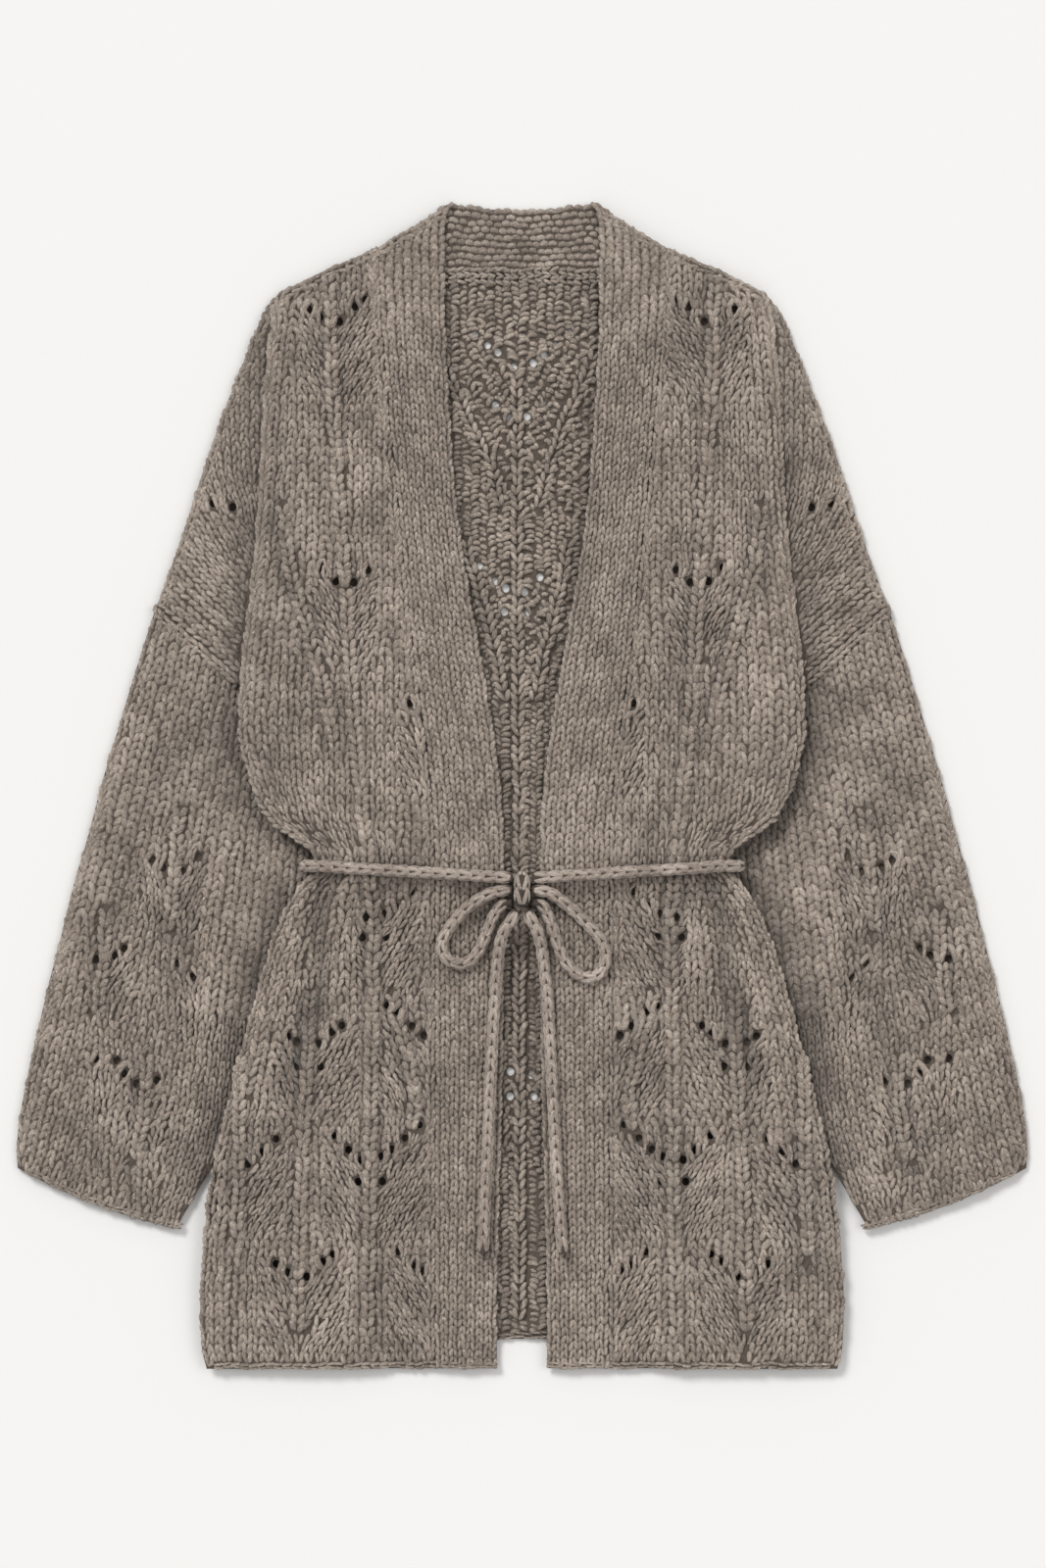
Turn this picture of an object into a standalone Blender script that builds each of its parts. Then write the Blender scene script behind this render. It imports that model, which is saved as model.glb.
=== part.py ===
"""Oversized knitted wrap cardigan with leaf lace and a cord belt, laid flat on its back.

+Z is up, +Y runs from the hem to the neck, and the left front lies on -X. The origin is
on the surface, under the middle of the garment. All sizes here are in millimetres, and
metres() turns them into the metres that Blender works in.
"""

import math

import bmesh
import bpy

MILLIMETRE = 0.001

# Knit and stacking sizes: a wall, the gap at a seam, the air between layers
WALL = 3.2
SEAM_GAP = 0.3
BAND_EXTRA = 0.5
EDGE_THICKNESS = 1.3
EDGE_ROUNDING = 4.0
EDGE_FULLNESS = 0.45
FOLD_ROUNDING = 12.0
LAYER_GAP = 0.8
LOFT_UNDER = 0.4
LOFT_SIDE = 0.9
LOFT_BELT = 1.8
LOFT_BODY = 1.6
LOFT_CAP = 2.0
LOFT_SLEEVE = 2.2
SLEEVE_STACK = 2.0 * WALL + LOFT_UNDER

# Lengths down the garment
FRONT_HEM = -415.5
BACK_HEM = -395.0
NECK_SEAM = 363.0
SHOULDER_TIP = (173.6, 351.0)
SHOULDER_SEAM = (102.0, 384.0)
NECK_POINT = (49.0, 415.5)
NECK_SIDE_LOW = (60.0, 363.0)
NECK_SIDE_HIGH = (68.0, 402.5)
SHOULDER_LINE = (NECK_SIDE_HIGH, SHOULDER_SEAM, (140.0, 367.5), SHOULDER_TIP)
UNDERARM = -34.0
CAP_FOOT = 71.0
CAP_CORNER = 123.6

# Belt
CORD = 8.2
CORD_RADIUS = CORD / 2.0
CORD_CLEARANCE = 0.7
BELT_LINE = -57.0
BELT_TURN_AT = 145.0
BELT_TURN_RADIUS = (2.0 * WALL + LAYER_GAP + LOFT_BELT + CORD + CORD_CLEARANCE + 0.4) / 2.0
BELT_SAG = 9.0
BELT_AT_KNOT = -65.2
BELT_OVER_AT = (14.0, 30.0, 50.0, 75.0, 100.0, 125.0)
BELT_UNDER_AT = (134.0, 115.0, 92.0, 60.0, 30.0)
KNOT_SIZE = (13.0, 28.0, 15.0)
KNOT_CENTRE = (0.0, -74.0, 20.5)
KNOT_ROUNDING = 3.4

# How far along the garment the layers and the belt's sag are spread at the belt
BACK_SPREAD = 16.0
FRONT_SPREAD = 26.0
SLEEVE_SPREAD = 22.0
SAG_SPREAD = 30.0

# Outer edge of the body: height, half width. Above the armhole it is the edge of the
# deep fold that lies over the dropped shoulder, below it the side of the body.
BODY_EDGE = (
    (351.0, 172.0), (343.0, 177.0), (316.0, 180.5), (282.0, 183.5), (214.0, 187.0),
    (169.0, 190.0), (133.0, 194.0), (92.0, 199.0), (71.0, 200.5), (44.0, 201.6),
    (8.0, 195.0), (-24.0, 180.0), (-40.0, 160.0), (-48.7, 149.0), (-57.0, 147.0),
    (-62.0, 147.8), (-68.0, 154.0), (-75.0, 160.5), (-107.0, 176.4), (-152.0, 190.0),
    (-205.0, 203.7), (-259.0, 217.0), (-321.0, 226.0), (-369.0, 229.0), (-400.0, 228.0),
    (-415.5, 224.5),
)

# Outer edge of the dropped shoulder and then its seam with the sleeve: height, half width
CAP_EDGE = (
    (351.0, 173.6), (343.0, 179.5), (333.6, 185.5), (316.0, 193.0), (281.0, 207.0),
    (246.0, 220.0), (211.0, 231.7), (176.0, 243.0), (141.0, 255.5), (123.6, 262.0),
)
ARMHOLE = ((123.6, 262.0), (71.0, 200.5), (-34.0, 131.0))

# Sleeve edges, from the armhole to the cuff: height, half width
SLEEVE_OUTER = (
    (123.6, 262.0), (71.0, 278.6), (36.0, 289.0), (1.0, 299.6), (-34.0, 308.7),
    (-69.0, 319.0), (-104.0, 327.6), (-139.0, 336.7), (-174.0, 345.0), (-209.0, 352.8),
    (-244.0, 359.0), (-262.0, 360.2), (-273.0, 359.6),
)
SLEEVE_INNER = (
    (-34.0, 131.0), (-69.0, 131.0), (-139.0, 150.0), (-216.0, 189.0), (-270.5, 220.5),
    (-292.0, 233.0), (-316.0, 247.0),
)
CUFF_BULGE = 4.5
SLEEVE_DOWN = (0.0, 0.03, 0.1, 0.19, 0.28, 0.36, 0.44, 0.53, 0.63, 0.73, 0.83, 0.92, 0.98, 1.0)
SLEEVE_SEAM_FOOT = (CAP_CORNER - CAP_FOOT) / (CAP_CORNER - UNDERARM)
SLEEVE_IN = (0.0, 0.012, 0.045, 0.13, 0.23, SLEEVE_SEAM_FOOT, 0.45, 0.6, 0.78, 0.94, 1.0)

# Front band edges: height, half width
BAND_SEAM = (
    (384.0, 102.0), (316.0, 98.7), (274.0, 95.2), (109.0, 78.5), (-55.0, 61.6),
    (-390.0, 61.6), (-415.5, 61.6),
)
BAND_INNER = (
    (415.5, 49.0), (409.0, 55.0), (400.0, 56.5), (363.0, 56.0), (225.0, 49.0),
    (-55.0, 12.6), (-167.0, 13.3), (-396.0, 18.0), (-415.5, 18.0),
)
BAND_ACROSS = (0.0, 0.06, 0.5, 0.94, 1.0)

# Top edge of the band behind the neck: share from the centre to its side, height
NECK_TOP = ((0.0, 409.5), (0.6, 413.0), (0.76, 415.0), (1.0, NECK_SIDE_HIGH[1]))
NECK_UP = (0.0, 0.3, 0.6, 0.85, 0.96, 1.0)
NECK_COLUMNS = 6

# Thickness of the folded layers along the body's edge: height, extra thickness
FOLD_EDGE = (
    (351.0, 0.6), (316.0, 3.0), (282.0, 4.5), (214.0, 6.0), (133.0, 7.5), (71.0, 8.0),
    (8.0, 8.5), (-24.0, 7.5), (-44.0, 3.0), (-57.0, 0.0), (-70.0, 1.2), (-107.0, 3.0),
    (-205.0, 2.6), (-321.0, 1.6), (-400.0, 0.6), (-415.5, 0.0),
)

# Levels of the rows that the back and the fronts share, and of the fronts' hems
SHARED_ROWS = (
    351.0, 342.0, 320.0, 290.0, 250.0, 205.0, 160.0, CAP_CORNER, 97.0, CAP_FOOT, 52.0,
    25.0, -2.0, -20.0, UNDERARM, -46.0, BELT_LINE, -68.0, -79.0, -95.0, -120.0, -155.0,
    -200.0, -250.0, -305.0, -360.0, BACK_HEM,
)
FRONT_ROWS = SHARED_ROWS + (-411.5, FRONT_HEM)
SHOULDER_FADE = 90.0

# Shares of the width at which the panels have points
FRONT_FLAT = (0.0, 0.25, 0.5, 0.75)
FRONT_SIDE = (0.12, 0.5, 0.85, 0.96, 1.0)
NECK_CORNER = NECK_SIDE_LOW[0] / SHOULDER_TIP[0]
BACK_ACROSS = (
    0.0, 0.17, NECK_CORNER, NECK_SIDE_HIGH[0] / SHOULDER_TIP[0], 0.59, 0.74, 0.87, 0.955, 1.0,
)

# Leaf motifs: distance of the spine from the centre line, height of the foot of its V,
# eyelets on the arm towards the centre and on the arm towards the side, lower pairs
FRONT_MOTIFS = (
    (136.0, 332.0, 3, 2, 0),
    (126.0, 146.0, 2, 2, 0),
    (105.0, -92.0, 3, 1, 1),
    (108.0, -266.0, 4, 3, 1),
    (152.0, -184.0, 3, 2, 1),
    (159.0, -348.0, 3, 2, 0),
    (201.0, -268.0, 3, 0, 0),
    (63.0, 50.0, 0, 2, 0),
    (63.0, -178.0, 0, 4, 0),
    (63.0, -348.0, 0, 3, 0),
    (212.0, 200.0, 1, 1, 0),
)
SLEEVE_MOTIFS = (
    (248.0, -60.0, 2, 2, 0),
    (228.0, -136.0, 0, 2, 0),
    (298.0, -122.0, 2, 1, 0),
    (268.0, -212.0, 1, 2, 0),
    (296.0, -196.0, 1, 1, 0),
)
BACK_MOTIFS = (
    (0.0, 300.0, 4, 4, 0),
    (-3.0, 264.0, 2, 2, 0),
    (-4.0, 140.0, 3, 2, 1),
    (0.0, -206.0, 1, 1, 1),
)
EYELET_SIDES = 6
EYELET_REACH = 80.0

# Loops and tails of the cord: across, along, height of its centre above the surface that
# the garment lies on
LOOP_LEFT = (
    (-7.2, -74.2, 20.5), (-12.5, -74.4, 20.5), (-23.5, -77.0, 20.0), (-40.3, -87.9, 16.5),
    (-52.9, -103.5, 14.5), (-57.4, -115.0, 13.8), (-51.5, -125.0, 13.6), (-40.0, -126.5, 13.5),
    (-31.0, -118.0, 13.4), (-25.0, -105.0, 13.3), (-20.0, -92.5, 14.0), (-13.6, -84.0, 16.0),
    (-7.2, -83.2, 16.6),
)
LOOP_RIGHT = (
    (7.2, -74.2, 20.5), (12.0, -74.4, 20.5), (21.0, -76.7, 20.0), (33.0, -85.8, 17.0),
    (46.0, -98.0, 15.0), (56.5, -110.5, 14.0), (59.5, -123.0, 13.6), (54.5, -134.0, 13.6),
    (44.0, -136.5, 13.5), (33.6, -129.0, 13.4), (26.9, -117.3, 13.3), (22.6, -104.0, 13.3),
    (18.0, -91.5, 14.0), (13.2, -84.0, 16.0), (7.2, -83.2, 16.6),
)
TAIL_LEFT = (
    (-4.4, -88.5, 22.6), (-6.0, -93.5, 23.0), (-12.6, -103.0, 21.6), (-16.2, -116.0, 17.2),
    (-18.2, -139.7, 13.6), (-20.2, -167.0, 13.3), (-22.2, -209.7, 13.2), (-24.9, -268.5, 13.0),
    (-26.3, -302.8, 12.9), (-27.7, -333.0, 12.8),
)
TAIL_RIGHT = (
    (4.4, -88.5, 22.6), (5.6, -93.5, 23.0), (10.8, -103.0, 21.6), (14.0, -116.0, 17.2),
    (16.9, -139.7, 13.6), (19.0, -167.0, 13.3), (21.2, -209.7, 13.2), (24.4, -268.5, 13.0),
    (27.0, -306.0, 12.9), (29.1, -333.0, 12.8),
)
WAIST_SPACING = 11.5
LOOP_SPACING = 9.0
TAIL_SPACING = 12.0

# Name, colour and roughness
WOOL = ("wool_taupe", (0.225, 0.190, 0.158, 1.0), 0.95)
BELT_WOOL = ("wool_belt", (0.262, 0.222, 0.188, 1.0), 0.92)


def metres(point):
    """Turn a point in millimetres into Blender's metres."""
    return tuple(value * MILLIMETRE for value in point)


def mix(first, second, share):
    """Blend two numbers by a share."""
    return first + (second - first) * share


def ramp(low, high, value):
    """Smooth step from 0 at low to 1 at high; low may be the greater."""
    share = min(1.0, max(0.0, (value - low) / (high - low)))
    return share * share * (3.0 - 2.0 * share)


def hump(distance, half_width):
    """1 along the crest, falling away softly past the half width."""
    return 1.0 / (1.0 + (distance / half_width) ** 4)


def through(rows, at):
    """Read a smooth curve through (key, value) rows that never overshoots them."""
    rows = sorted(rows)
    if at <= rows[0][0]:
        return rows[0][1]
    if at >= rows[-1][0]:
        return rows[-1][1]
    slopes = [(b[1] - a[1]) / (b[0] - a[0]) for a, b in zip(rows, rows[1:])]
    index = next(i for i, row in enumerate(rows[1:]) if at <= row[0])
    start, end = rows[index], rows[index + 1]

    def tangent(i):
        """Slope of the curve at a row."""
        if i in (0, len(rows) - 1):
            return slopes[0] if i == 0 else slopes[-1]
        before, after = slopes[i - 1], slopes[i]
        return 2.0 * before * after / (before + after) if before * after > 0.0 else 0.0

    step = end[0] - start[0]
    t = (at - start[0]) / step
    return ((1 + 2 * t) * (1 - t) ** 2 * start[1] + t * (1 - t) ** 2 * step * tangent(index)
            + t * t * (3 - 2 * t) * end[1] + t * t * (t - 1) * step * tangent(index + 1))


def straight(rows, at):
    """Read straight lines through (key, value) rows whose keys fall."""
    for (high, start), (low, end) in zip(rows, rows[1:]):
        if at >= low:
            return mix(start, end, max(0.0, (high - at) / (high - low)))
    return rows[-1][1]


def belt_rest(across):
    """Height of the centre of the belt's run under the back."""
    low = CORD_RADIUS + SEAM_GAP
    return mix(low, SLEEVE_STACK + LAYER_GAP + CORD_RADIUS, ramp(72.0, 122.0, across))


def back_low(across, along):
    """Underside of the back: flat on the surface, over the sleeves and over the belt."""
    edge = through(SLEEVE_INNER, along)
    over_sleeve = ramp(edge - 72.0, edge - 14.0, across) * ramp(32.0, -14.0, along)
    over_sleeve *= ramp(-330.0, -285.0, along)
    rest = (SLEEVE_STACK + LAYER_GAP) * over_sleeve
    over_belt = belt_rest(across) + CORD_RADIUS + LAYER_GAP
    return mix(rest, over_belt, hump(along - BELT_LINE, BACK_SPREAD))


def back_high(across, along):
    """Top of the back."""
    return back_low(across, along) + WALL


def front_low(across, along):
    """Underside of a front: a little above the back, or above the sleeve past the armhole."""
    rest = back_high(across, along)
    seam = straight(ARMHOLE, max(along, UNDERARM))
    beside = ramp(seam - 60.0, seam - 14.0, across) * ramp(CAP_FOOT + 40.0, CAP_FOOT, along)
    over_sleeve = (SLEEVE_STACK + LAYER_GAP) * beside
    rest = max(rest, over_sleeve)
    edge = through(BODY_EDGE, along)
    loft = mix(LOFT_BODY, LOFT_SIDE, ramp(edge - 60.0, edge - 8.0, across))
    return rest + mix(loft, LOFT_BELT, hump(along - BELT_LINE, FRONT_SPREAD))


def front_high(across, along):
    """Top of a front, raised where the deep fold doubles the layers."""
    edge = through(BODY_EDGE, along)
    folded = through(FOLD_EDGE, along) * ramp(edge - 75.0, edge - 14.0, across)
    return front_low(across, along) + WALL + folded


def cap_edge(along):
    """Half width of the dropped shoulder, to its fold and then to its sleeve seam."""
    if along >= CAP_CORNER:
        return through(CAP_EDGE, along)
    return max(straight(ARMHOLE, along), through(BODY_EDGE, along))


def cap_low(across, along):
    """Underside of the dropped shoulder, close to the back at its fold."""
    near_edge = ramp(cap_edge(along) - 12.0, cap_edge(along) - 1.0, across)
    if along < CAP_CORNER:
        near_edge *= ramp(CAP_CORNER - 30.0, CAP_CORNER, along)
    return WALL + mix(LOFT_CAP, SEAM_GAP, near_edge)


def sleeve_loft(across, along):
    """Air between the two walls of a sleeve: little under the body, more beside it."""
    beside = ramp(8.0, 40.0, across - through(BODY_EDGE, along))
    free = 1.0 - hump(along - BELT_LINE, SLEEVE_SPREAD)
    outer = through(SLEEVE_OUTER, along) if along < CAP_CORNER else CAP_EDGE[-1][1]
    folded = ramp(outer - 1.0, outer - 12.0, across)
    return LOFT_UNDER + (LOFT_SLEEVE - LOFT_UNDER) * beside * free * folded


def make_material(finish):
    """Principled cloth of one colour and roughness, not metallic."""
    name, colour, roughness = finish
    material = bpy.data.materials.new(name)
    material.use_nodes = True
    shader = material.node_tree.nodes["Principled BSDF"]
    shader.inputs["Base Color"].default_value = colour
    shader.inputs["Roughness"].default_value = roughness
    shader.inputs["Metallic"].default_value = 0.0
    return material


def finish_mesh(name, mesh, material):
    """Turn a bmesh into a smooth-shaded object with its faces pointing out."""
    bmesh.ops.recalc_face_normals(mesh, faces=mesh.faces)
    data = bpy.data.meshes.new(name)
    mesh.to_mesh(data)
    mesh.free()
    data.materials.append(material)
    data.shade_smooth()
    data.set_sharp_from_angle(angle=math.radians(50.0))
    piece = bpy.data.objects.new(name, data)
    bpy.context.collection.objects.link(piece)
    return piece


def wall(name, high, low, material):
    """Closed wall between two grids of points that have the same rows and columns."""
    mesh = bmesh.new()
    top = [[mesh.verts.new(metres(point)) for point in row] for row in high]
    under = [[mesh.verts.new(metres(point)) for point in row] for row in low]
    for r in range(len(top) - 1):
        for c in range(len(top[0]) - 1):
            mesh.faces.new((top[r][c], top[r][c + 1], top[r + 1][c + 1], top[r + 1][c]))
            mesh.faces.new((under[r][c], under[r + 1][c], under[r + 1][c + 1], under[r][c + 1]))
        for c in (0, -1):
            mesh.faces.new((top[r][c], top[r + 1][c], under[r + 1][c], under[r][c]))
    for c in range(len(top[0]) - 1):
        for r in (0, -1):
            mesh.faces.new((top[r][c], under[r][c], under[r][c + 1], top[r][c + 1]))
    return finish_mesh(name, mesh, material)


def eyelets(motifs, side):
    """Centres and radii of the eyelets of each leaf: two arms of a V and lower pairs."""
    found = []
    for number, (across, foot, inward, outward, pairs) in enumerate(motifs):
        for direction, count in ((-1, inward), (1, outward)):
            for step in range(count):
                wander = math.sin(5.0 * number + 2.3 * step + direction)
                x = across + direction * (7.0 + 9.0 * step + 1.2 * wander)
                y = foot + 7.5 * step + 1.8 * wander
                found.append((side * x, y, 2.9 - 0.15 * step))
            for _ in range(pairs):
                found.append((side * (across + direction * 8.5), foot - 16.0, 2.8))
    return found


def cut_eyelets(piece, centres):
    """Cut upright six-sided holes through a wall at the given centres."""
    mesh = bmesh.new()
    for x, y, radius in centres:
        ring = []
        for corner in range(EYELET_SIDES):
            angle = math.tau * corner / EYELET_SIDES
            ring.append((x + radius * math.cos(angle), y + 1.15 * radius * math.sin(angle)))
        low = [mesh.verts.new(metres((px, py, -EYELET_REACH))) for px, py in ring]
        high = [mesh.verts.new(metres((px, py, EYELET_REACH))) for px, py in ring]
        mesh.faces.new(list(reversed(low)))
        mesh.faces.new(high)
        for corner in range(EYELET_SIDES):
            after = (corner + 1) % EYELET_SIDES
            mesh.faces.new((low[corner], low[after], high[after], high[corner]))
    cutter = finish_mesh(piece.name + "_eyelets", mesh, piece.data.materials[0])
    cutter.hide_render = True
    cutter.display_type = "WIRE"
    cut = piece.modifiers.new("eyelets", "BOOLEAN")
    cut.operation = "DIFFERENCE"
    cut.solver = "EXACT"
    cut.object = cutter


def shoulder_rise(across):
    """How far the shoulder line stands above the level of the shoulder's tip."""
    return through(SHOULDER_LINE, across) - SHOULDER_TIP[1]


def place(across, level):
    """Distance along the garment of a point of a front's row, which follows shoulder and belt."""
    fade = ramp(SHOULDER_TIP[1] - SHOULDER_FADE, SHOULDER_TIP[1], level)
    rise = shoulder_rise(across) * fade if across < SHOULDER_TIP[0] else 0.0
    sag = BELT_SAG * max(0.0, 1.0 - across / BELT_TURN_AT) * hump(level - BELT_LINE, SAG_SPREAD)
    return level + rise - sag


def front_section(along):
    """Points of a front across one row: (across, under, high, low) from band to outer edge."""
    start = through(BAND_SEAM, place(100.0, along)) + SEAM_GAP
    edge = through(BODY_EDGE, along)
    outer = max(cap_edge(along) - (0.0 if along >= CAP_CORNER else SEAM_GAP), edge)
    cap = outer - edge if along > CAP_FOOT else 0.0
    is_cap = ramp(2.0, 14.0, cap) if along < CAP_CORNER else 1.0
    points = []
    for share in FRONT_FLAT:
        across = mix(start, edge - FOLD_ROUNDING, share)
        points.append((across, across))
    points += [(edge - FOLD_ROUNDING, edge - 16.0), (edge - 4.0, edge - 10.0), (edge, edge - 5.0)]
    section = []
    for across, under in points:
        under = mix(under, across, is_cap)
        high = front_high(min(across, edge - 5.0), place(across, along))
        low = front_low(under, place(under, along))
        if across > edge - FOLD_ROUNDING:
            turned = (across - edge + FOLD_ROUNDING) / (FOLD_ROUNDING + 0.4)
            drop = 1.0 - math.sqrt(max(0.0, 1.0 - turned ** 2))
            foot = mix(mix(low, high, EDGE_FULLNESS), cap_low(across, along) + WALL, is_cap)
            high = mix(high, foot, drop)
        if is_cap > 0.0:
            low = mix(low, cap_low(under, along), is_cap * ramp(edge - 30.0, edge, under))
        section.append((across, under, high, low))
    side_high, side_low = section[-1][2], section[-1][3]
    for share in FRONT_SIDE:
        across = edge + cap * share
        under = mix(edge - 4.6 + 2.0 * share, across, is_cap)
        low = mix(front_low(edge, along), cap_low(under, along), is_cap)
        from_edge = outer - across
        rounding = ramp(0.0, EDGE_ROUNDING, from_edge) if along >= CAP_CORNER else 1.0
        cap_top = cap_low(across, along) + mix(EDGE_THICKNESS, WALL, math.sqrt(rounding))
        side = mix(side_high, side_low + 0.6, share)
        curl = -1.2 * share * share * (1.0 - is_cap)
        section.append((across + curl, under, mix(side, cap_top, is_cap), low))
    return section


def add_front(name, side, material):
    """Front panel with its dropped shoulder, from the band's seam to the side."""
    high_grid, low_grid = [], []
    for level in FRONT_ROWS:
        ends = ramp(0.0, EDGE_ROUNDING, level - FRONT_HEM)
        ends *= ramp(0.0, EDGE_ROUNDING, SHOULDER_TIP[1] - level)
        high_row, low_row = [], []
        for across, under, high, low in front_section(level):
            thickness = (high - low) * mix(EDGE_FULLNESS, 1.0, math.sqrt(ends))
            low_here = low if level < SHOULDER_TIP[1] else WALL + SEAM_GAP
            high_row.append((side * across, place(across, level), low_here + thickness))
            low_row.append((side * under, place(under, level), low_here))
        high_grid.append(high_row)
        low_grid.append(low_row)
    piece = wall(name, high_grid, low_grid, material)
    cut_eyelets(piece, eyelets(FRONT_MOTIFS, side))


def add_back(material):
    """Back panel, wider at the dropped shoulders, over the sleeves and belt lower down."""
    columns = [-share for share in reversed(BACK_ACROSS[1:])] + list(BACK_ACROSS)
    high_grid, low_grid = [], []
    for level in SHARED_ROWS:
        outer = cap_edge(level)
        if level < CAP_CORNER:
            outer = straight(ARMHOLE, level) - SEAM_GAP
        if level < UNDERARM:
            outer = through(BODY_EDGE, level)
        fade = ramp(SHOULDER_TIP[1] - SHOULDER_FADE, SHOULDER_TIP[1], level)
        high_row, low_row = [], []
        for share in columns:
            across = abs(share) * outer
            rise = NECK_SEAM - SHOULDER_TIP[1]
            if abs(share) > NECK_CORNER + 0.001:
                rise = shoulder_rise(abs(share) * SHOULDER_TIP[0])
            rounding = math.sqrt(ramp(1.0, 0.955, abs(share)))
            low = back_low(across, level)
            lift = mix(WALL - EDGE_THICKNESS, 0.0, rounding)
            x = math.copysign(across, share)
            high_row.append((x, level + rise * fade, low + WALL))
            low_row.append((x, level + rise * fade, low + lift))
        high_grid.append(high_row)
        low_grid.append(low_row)
    piece = wall("back", high_grid, low_grid, material)
    cut_eyelets(piece, eyelets(BACK_MOTIFS, 1))


def sleeve_point(down, inward):
    """Plan position on a sleeve: down from the armhole to the cuff, inward from its fold."""
    outer_level = mix(CAP_CORNER, SLEEVE_OUTER[-1][0], down)
    inner_level = mix(UNDERARM, SLEEVE_INNER[-1][0], down)
    outer = (through(SLEEVE_OUTER, outer_level), outer_level)
    inner = (through(SLEEVE_INNER, inner_level), inner_level)
    seam_level = mix(CAP_CORNER, UNDERARM, inward)
    chord = mix(SLEEVE_OUTER[0][1], SLEEVE_INNER[0][1], inward)
    across = mix(outer[0], inner[0], inward)
    across += (straight(ARMHOLE, seam_level) + SEAM_GAP - chord) * (1.0 - down)
    along = mix(outer[1], inner[1], inward)
    along -= SEAM_GAP * (1.0 - down) + CUFF_BULGE * down * math.sin(math.pi * inward)
    return across, along


def add_sleeve(label, side, material):
    """Sleeve as a flat tube: an upper and a lower wall that meet at its fold and its seam."""
    grids = {"upper": ([], []), "lower": ([], [])}
    for down in SLEEVE_DOWN:
        rows = {key: ([], []) for key in grids}
        for inward in SLEEVE_IN:
            across, along = sleeve_point(down, inward)
            loft = sleeve_loft(across, along)
            if inward < 0.06:
                loft = mix(SEAM_GAP, loft, ramp(0.0, 0.06, inward))
            at_fold = math.sqrt(ramp(0.0, 0.045, inward))
            thickness = mix(EDGE_THICKNESS, WALL, at_fold * ramp(-0.02, 0.02, 1.0 - down))
            x = side * across
            rows["upper"][0].append((x, along, WALL + loft + thickness))
            rows["upper"][1].append((x, along, WALL + loft))
            rows["lower"][0].append((x, along, WALL))
            rows["lower"][1].append((x, along, WALL - mix(EDGE_THICKNESS, WALL, at_fold)))
        for key, grid in grids.items():
            grid[0].append(rows[key][0])
            grid[1].append(rows[key][1])
    for key, (high, low) in grids.items():
        piece = wall("sleeve_" + label + "_" + key, high, low, material)
        if key == "upper":
            cut_eyelets(piece, eyelets(SLEEVE_MOTIFS, side))


def add_band(name, side, material):
    """Front band from the shoulder to the hem, a little thicker than the front."""
    high_grid, low_grid = [], []
    for level in FRONT_ROWS:
        seam = through(BAND_SEAM, place(100.0, level))
        seam_y = place(seam, level)
        inner_y = seam_y + (NECK_POINT[1] - seam_y) * ramp(276.0, 351.0, level)
        inner = through(BAND_INNER, inner_y)
        ends = ramp(0.0, 5.0, level - FRONT_HEM) * ramp(SHOULDER_TIP[1], 340.0, level)
        high_row, low_row = [], []
        for share in BAND_ACROSS:
            across = mix(seam, inner, share)
            y = mix(seam_y, inner_y, share)
            rounding = math.sqrt(ramp(0.0, 0.06, min(share + 0.02, 1.0 - share)) * ends)
            low = front_low(across, y) if level < SHOULDER_TIP[1] else WALL + SEAM_GAP
            high = low + mix(EDGE_THICKNESS, WALL + BAND_EXTRA, rounding)
            high_row.append((side * across, y, high))
            low_row.append((side * across, y, low))
        high_grid.append(high_row)
        low_grid.append(low_row)
    wall(name, high_grid, low_grid, material)


def add_neck_band(material):
    """Band behind the neck, between the shoulders, with a dipped and rounded top edge."""
    high_grid, low_grid = [], []
    low_half = NECK_SIDE_LOW[0] - SEAM_GAP
    high_half = NECK_SIDE_HIGH[0] - SEAM_GAP
    for up in NECK_UP:
        half = mix(low_half, high_half, up)
        high_row, low_row = [], []
        for column in range(-NECK_COLUMNS, NECK_COLUMNS + 1):
            share = column / NECK_COLUMNS
            y = mix(NECK_SEAM + SEAM_GAP, through(NECK_TOP, abs(share)), up)
            rounding = math.sqrt(ramp(1.0, 0.9, up))
            high_row.append((half * share, y, mix(WALL - 0.9, WALL, rounding)))
            low_row.append((half * share, y, mix(0.9, 0.0, rounding)))
        high_grid.append(high_row)
        low_grid.append(low_row)
    wall("band_neck", high_grid, low_grid, material)


def spline_points(route, spacing):
    """Evenly spaced points on a smooth curve through the route's own points."""
    dense = []
    last = len(route) - 1
    for i in range(last):
        a, b, c, d = (route[min(max(k, 0), last)] for k in (i - 1, i, i + 1, i + 2))
        for step in range(24):
            t = step / 24.0
            dense.append(tuple(
                0.5 * (2 * q + (r - p) * t + (2 * p - 5 * q + 4 * r - s) * t * t
                       + (3 * q - p - 3 * r + s) * t ** 3)
                for p, q, r, s in zip(a, b, c, d)))
    dense.append(tuple(route[-1]))
    total = sum(math.dist(a, b) for a, b in zip(dense, dense[1:]))
    count = max(2, round(total / spacing))
    points, walked, target = [dense[0]], 0.0, total / count
    for a, b in zip(dense, dense[1:]):
        length = math.dist(a, b)
        while walked + length >= target and len(points) < count:
            share = (target - walked) / length
            points.append(tuple(mix(p, q, share) for p, q in zip(a, b)))
            target += total / count
        walked += length
    points.append(dense[-1])
    return points


def add_cord(name, route, spacing, material):
    """Round knitted cord with closed ends along a smooth route."""
    curve = bpy.data.curves.new(name, "CURVE")
    curve.dimensions = "3D"
    curve.bevel_depth = CORD_RADIUS * MILLIMETRE
    curve.bevel_resolution = 2
    curve.use_fill_caps = True
    points = spline_points(route, spacing)
    spline = curve.splines.new("POLY")
    spline.points.add(len(points) - 1)
    for slot, point in zip(spline.points, points):
        slot.co = (*metres(point), 1.0)
    curve.materials.append(material)
    piece = bpy.data.objects.new(name, curve)
    bpy.context.collection.objects.link(piece)


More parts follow.
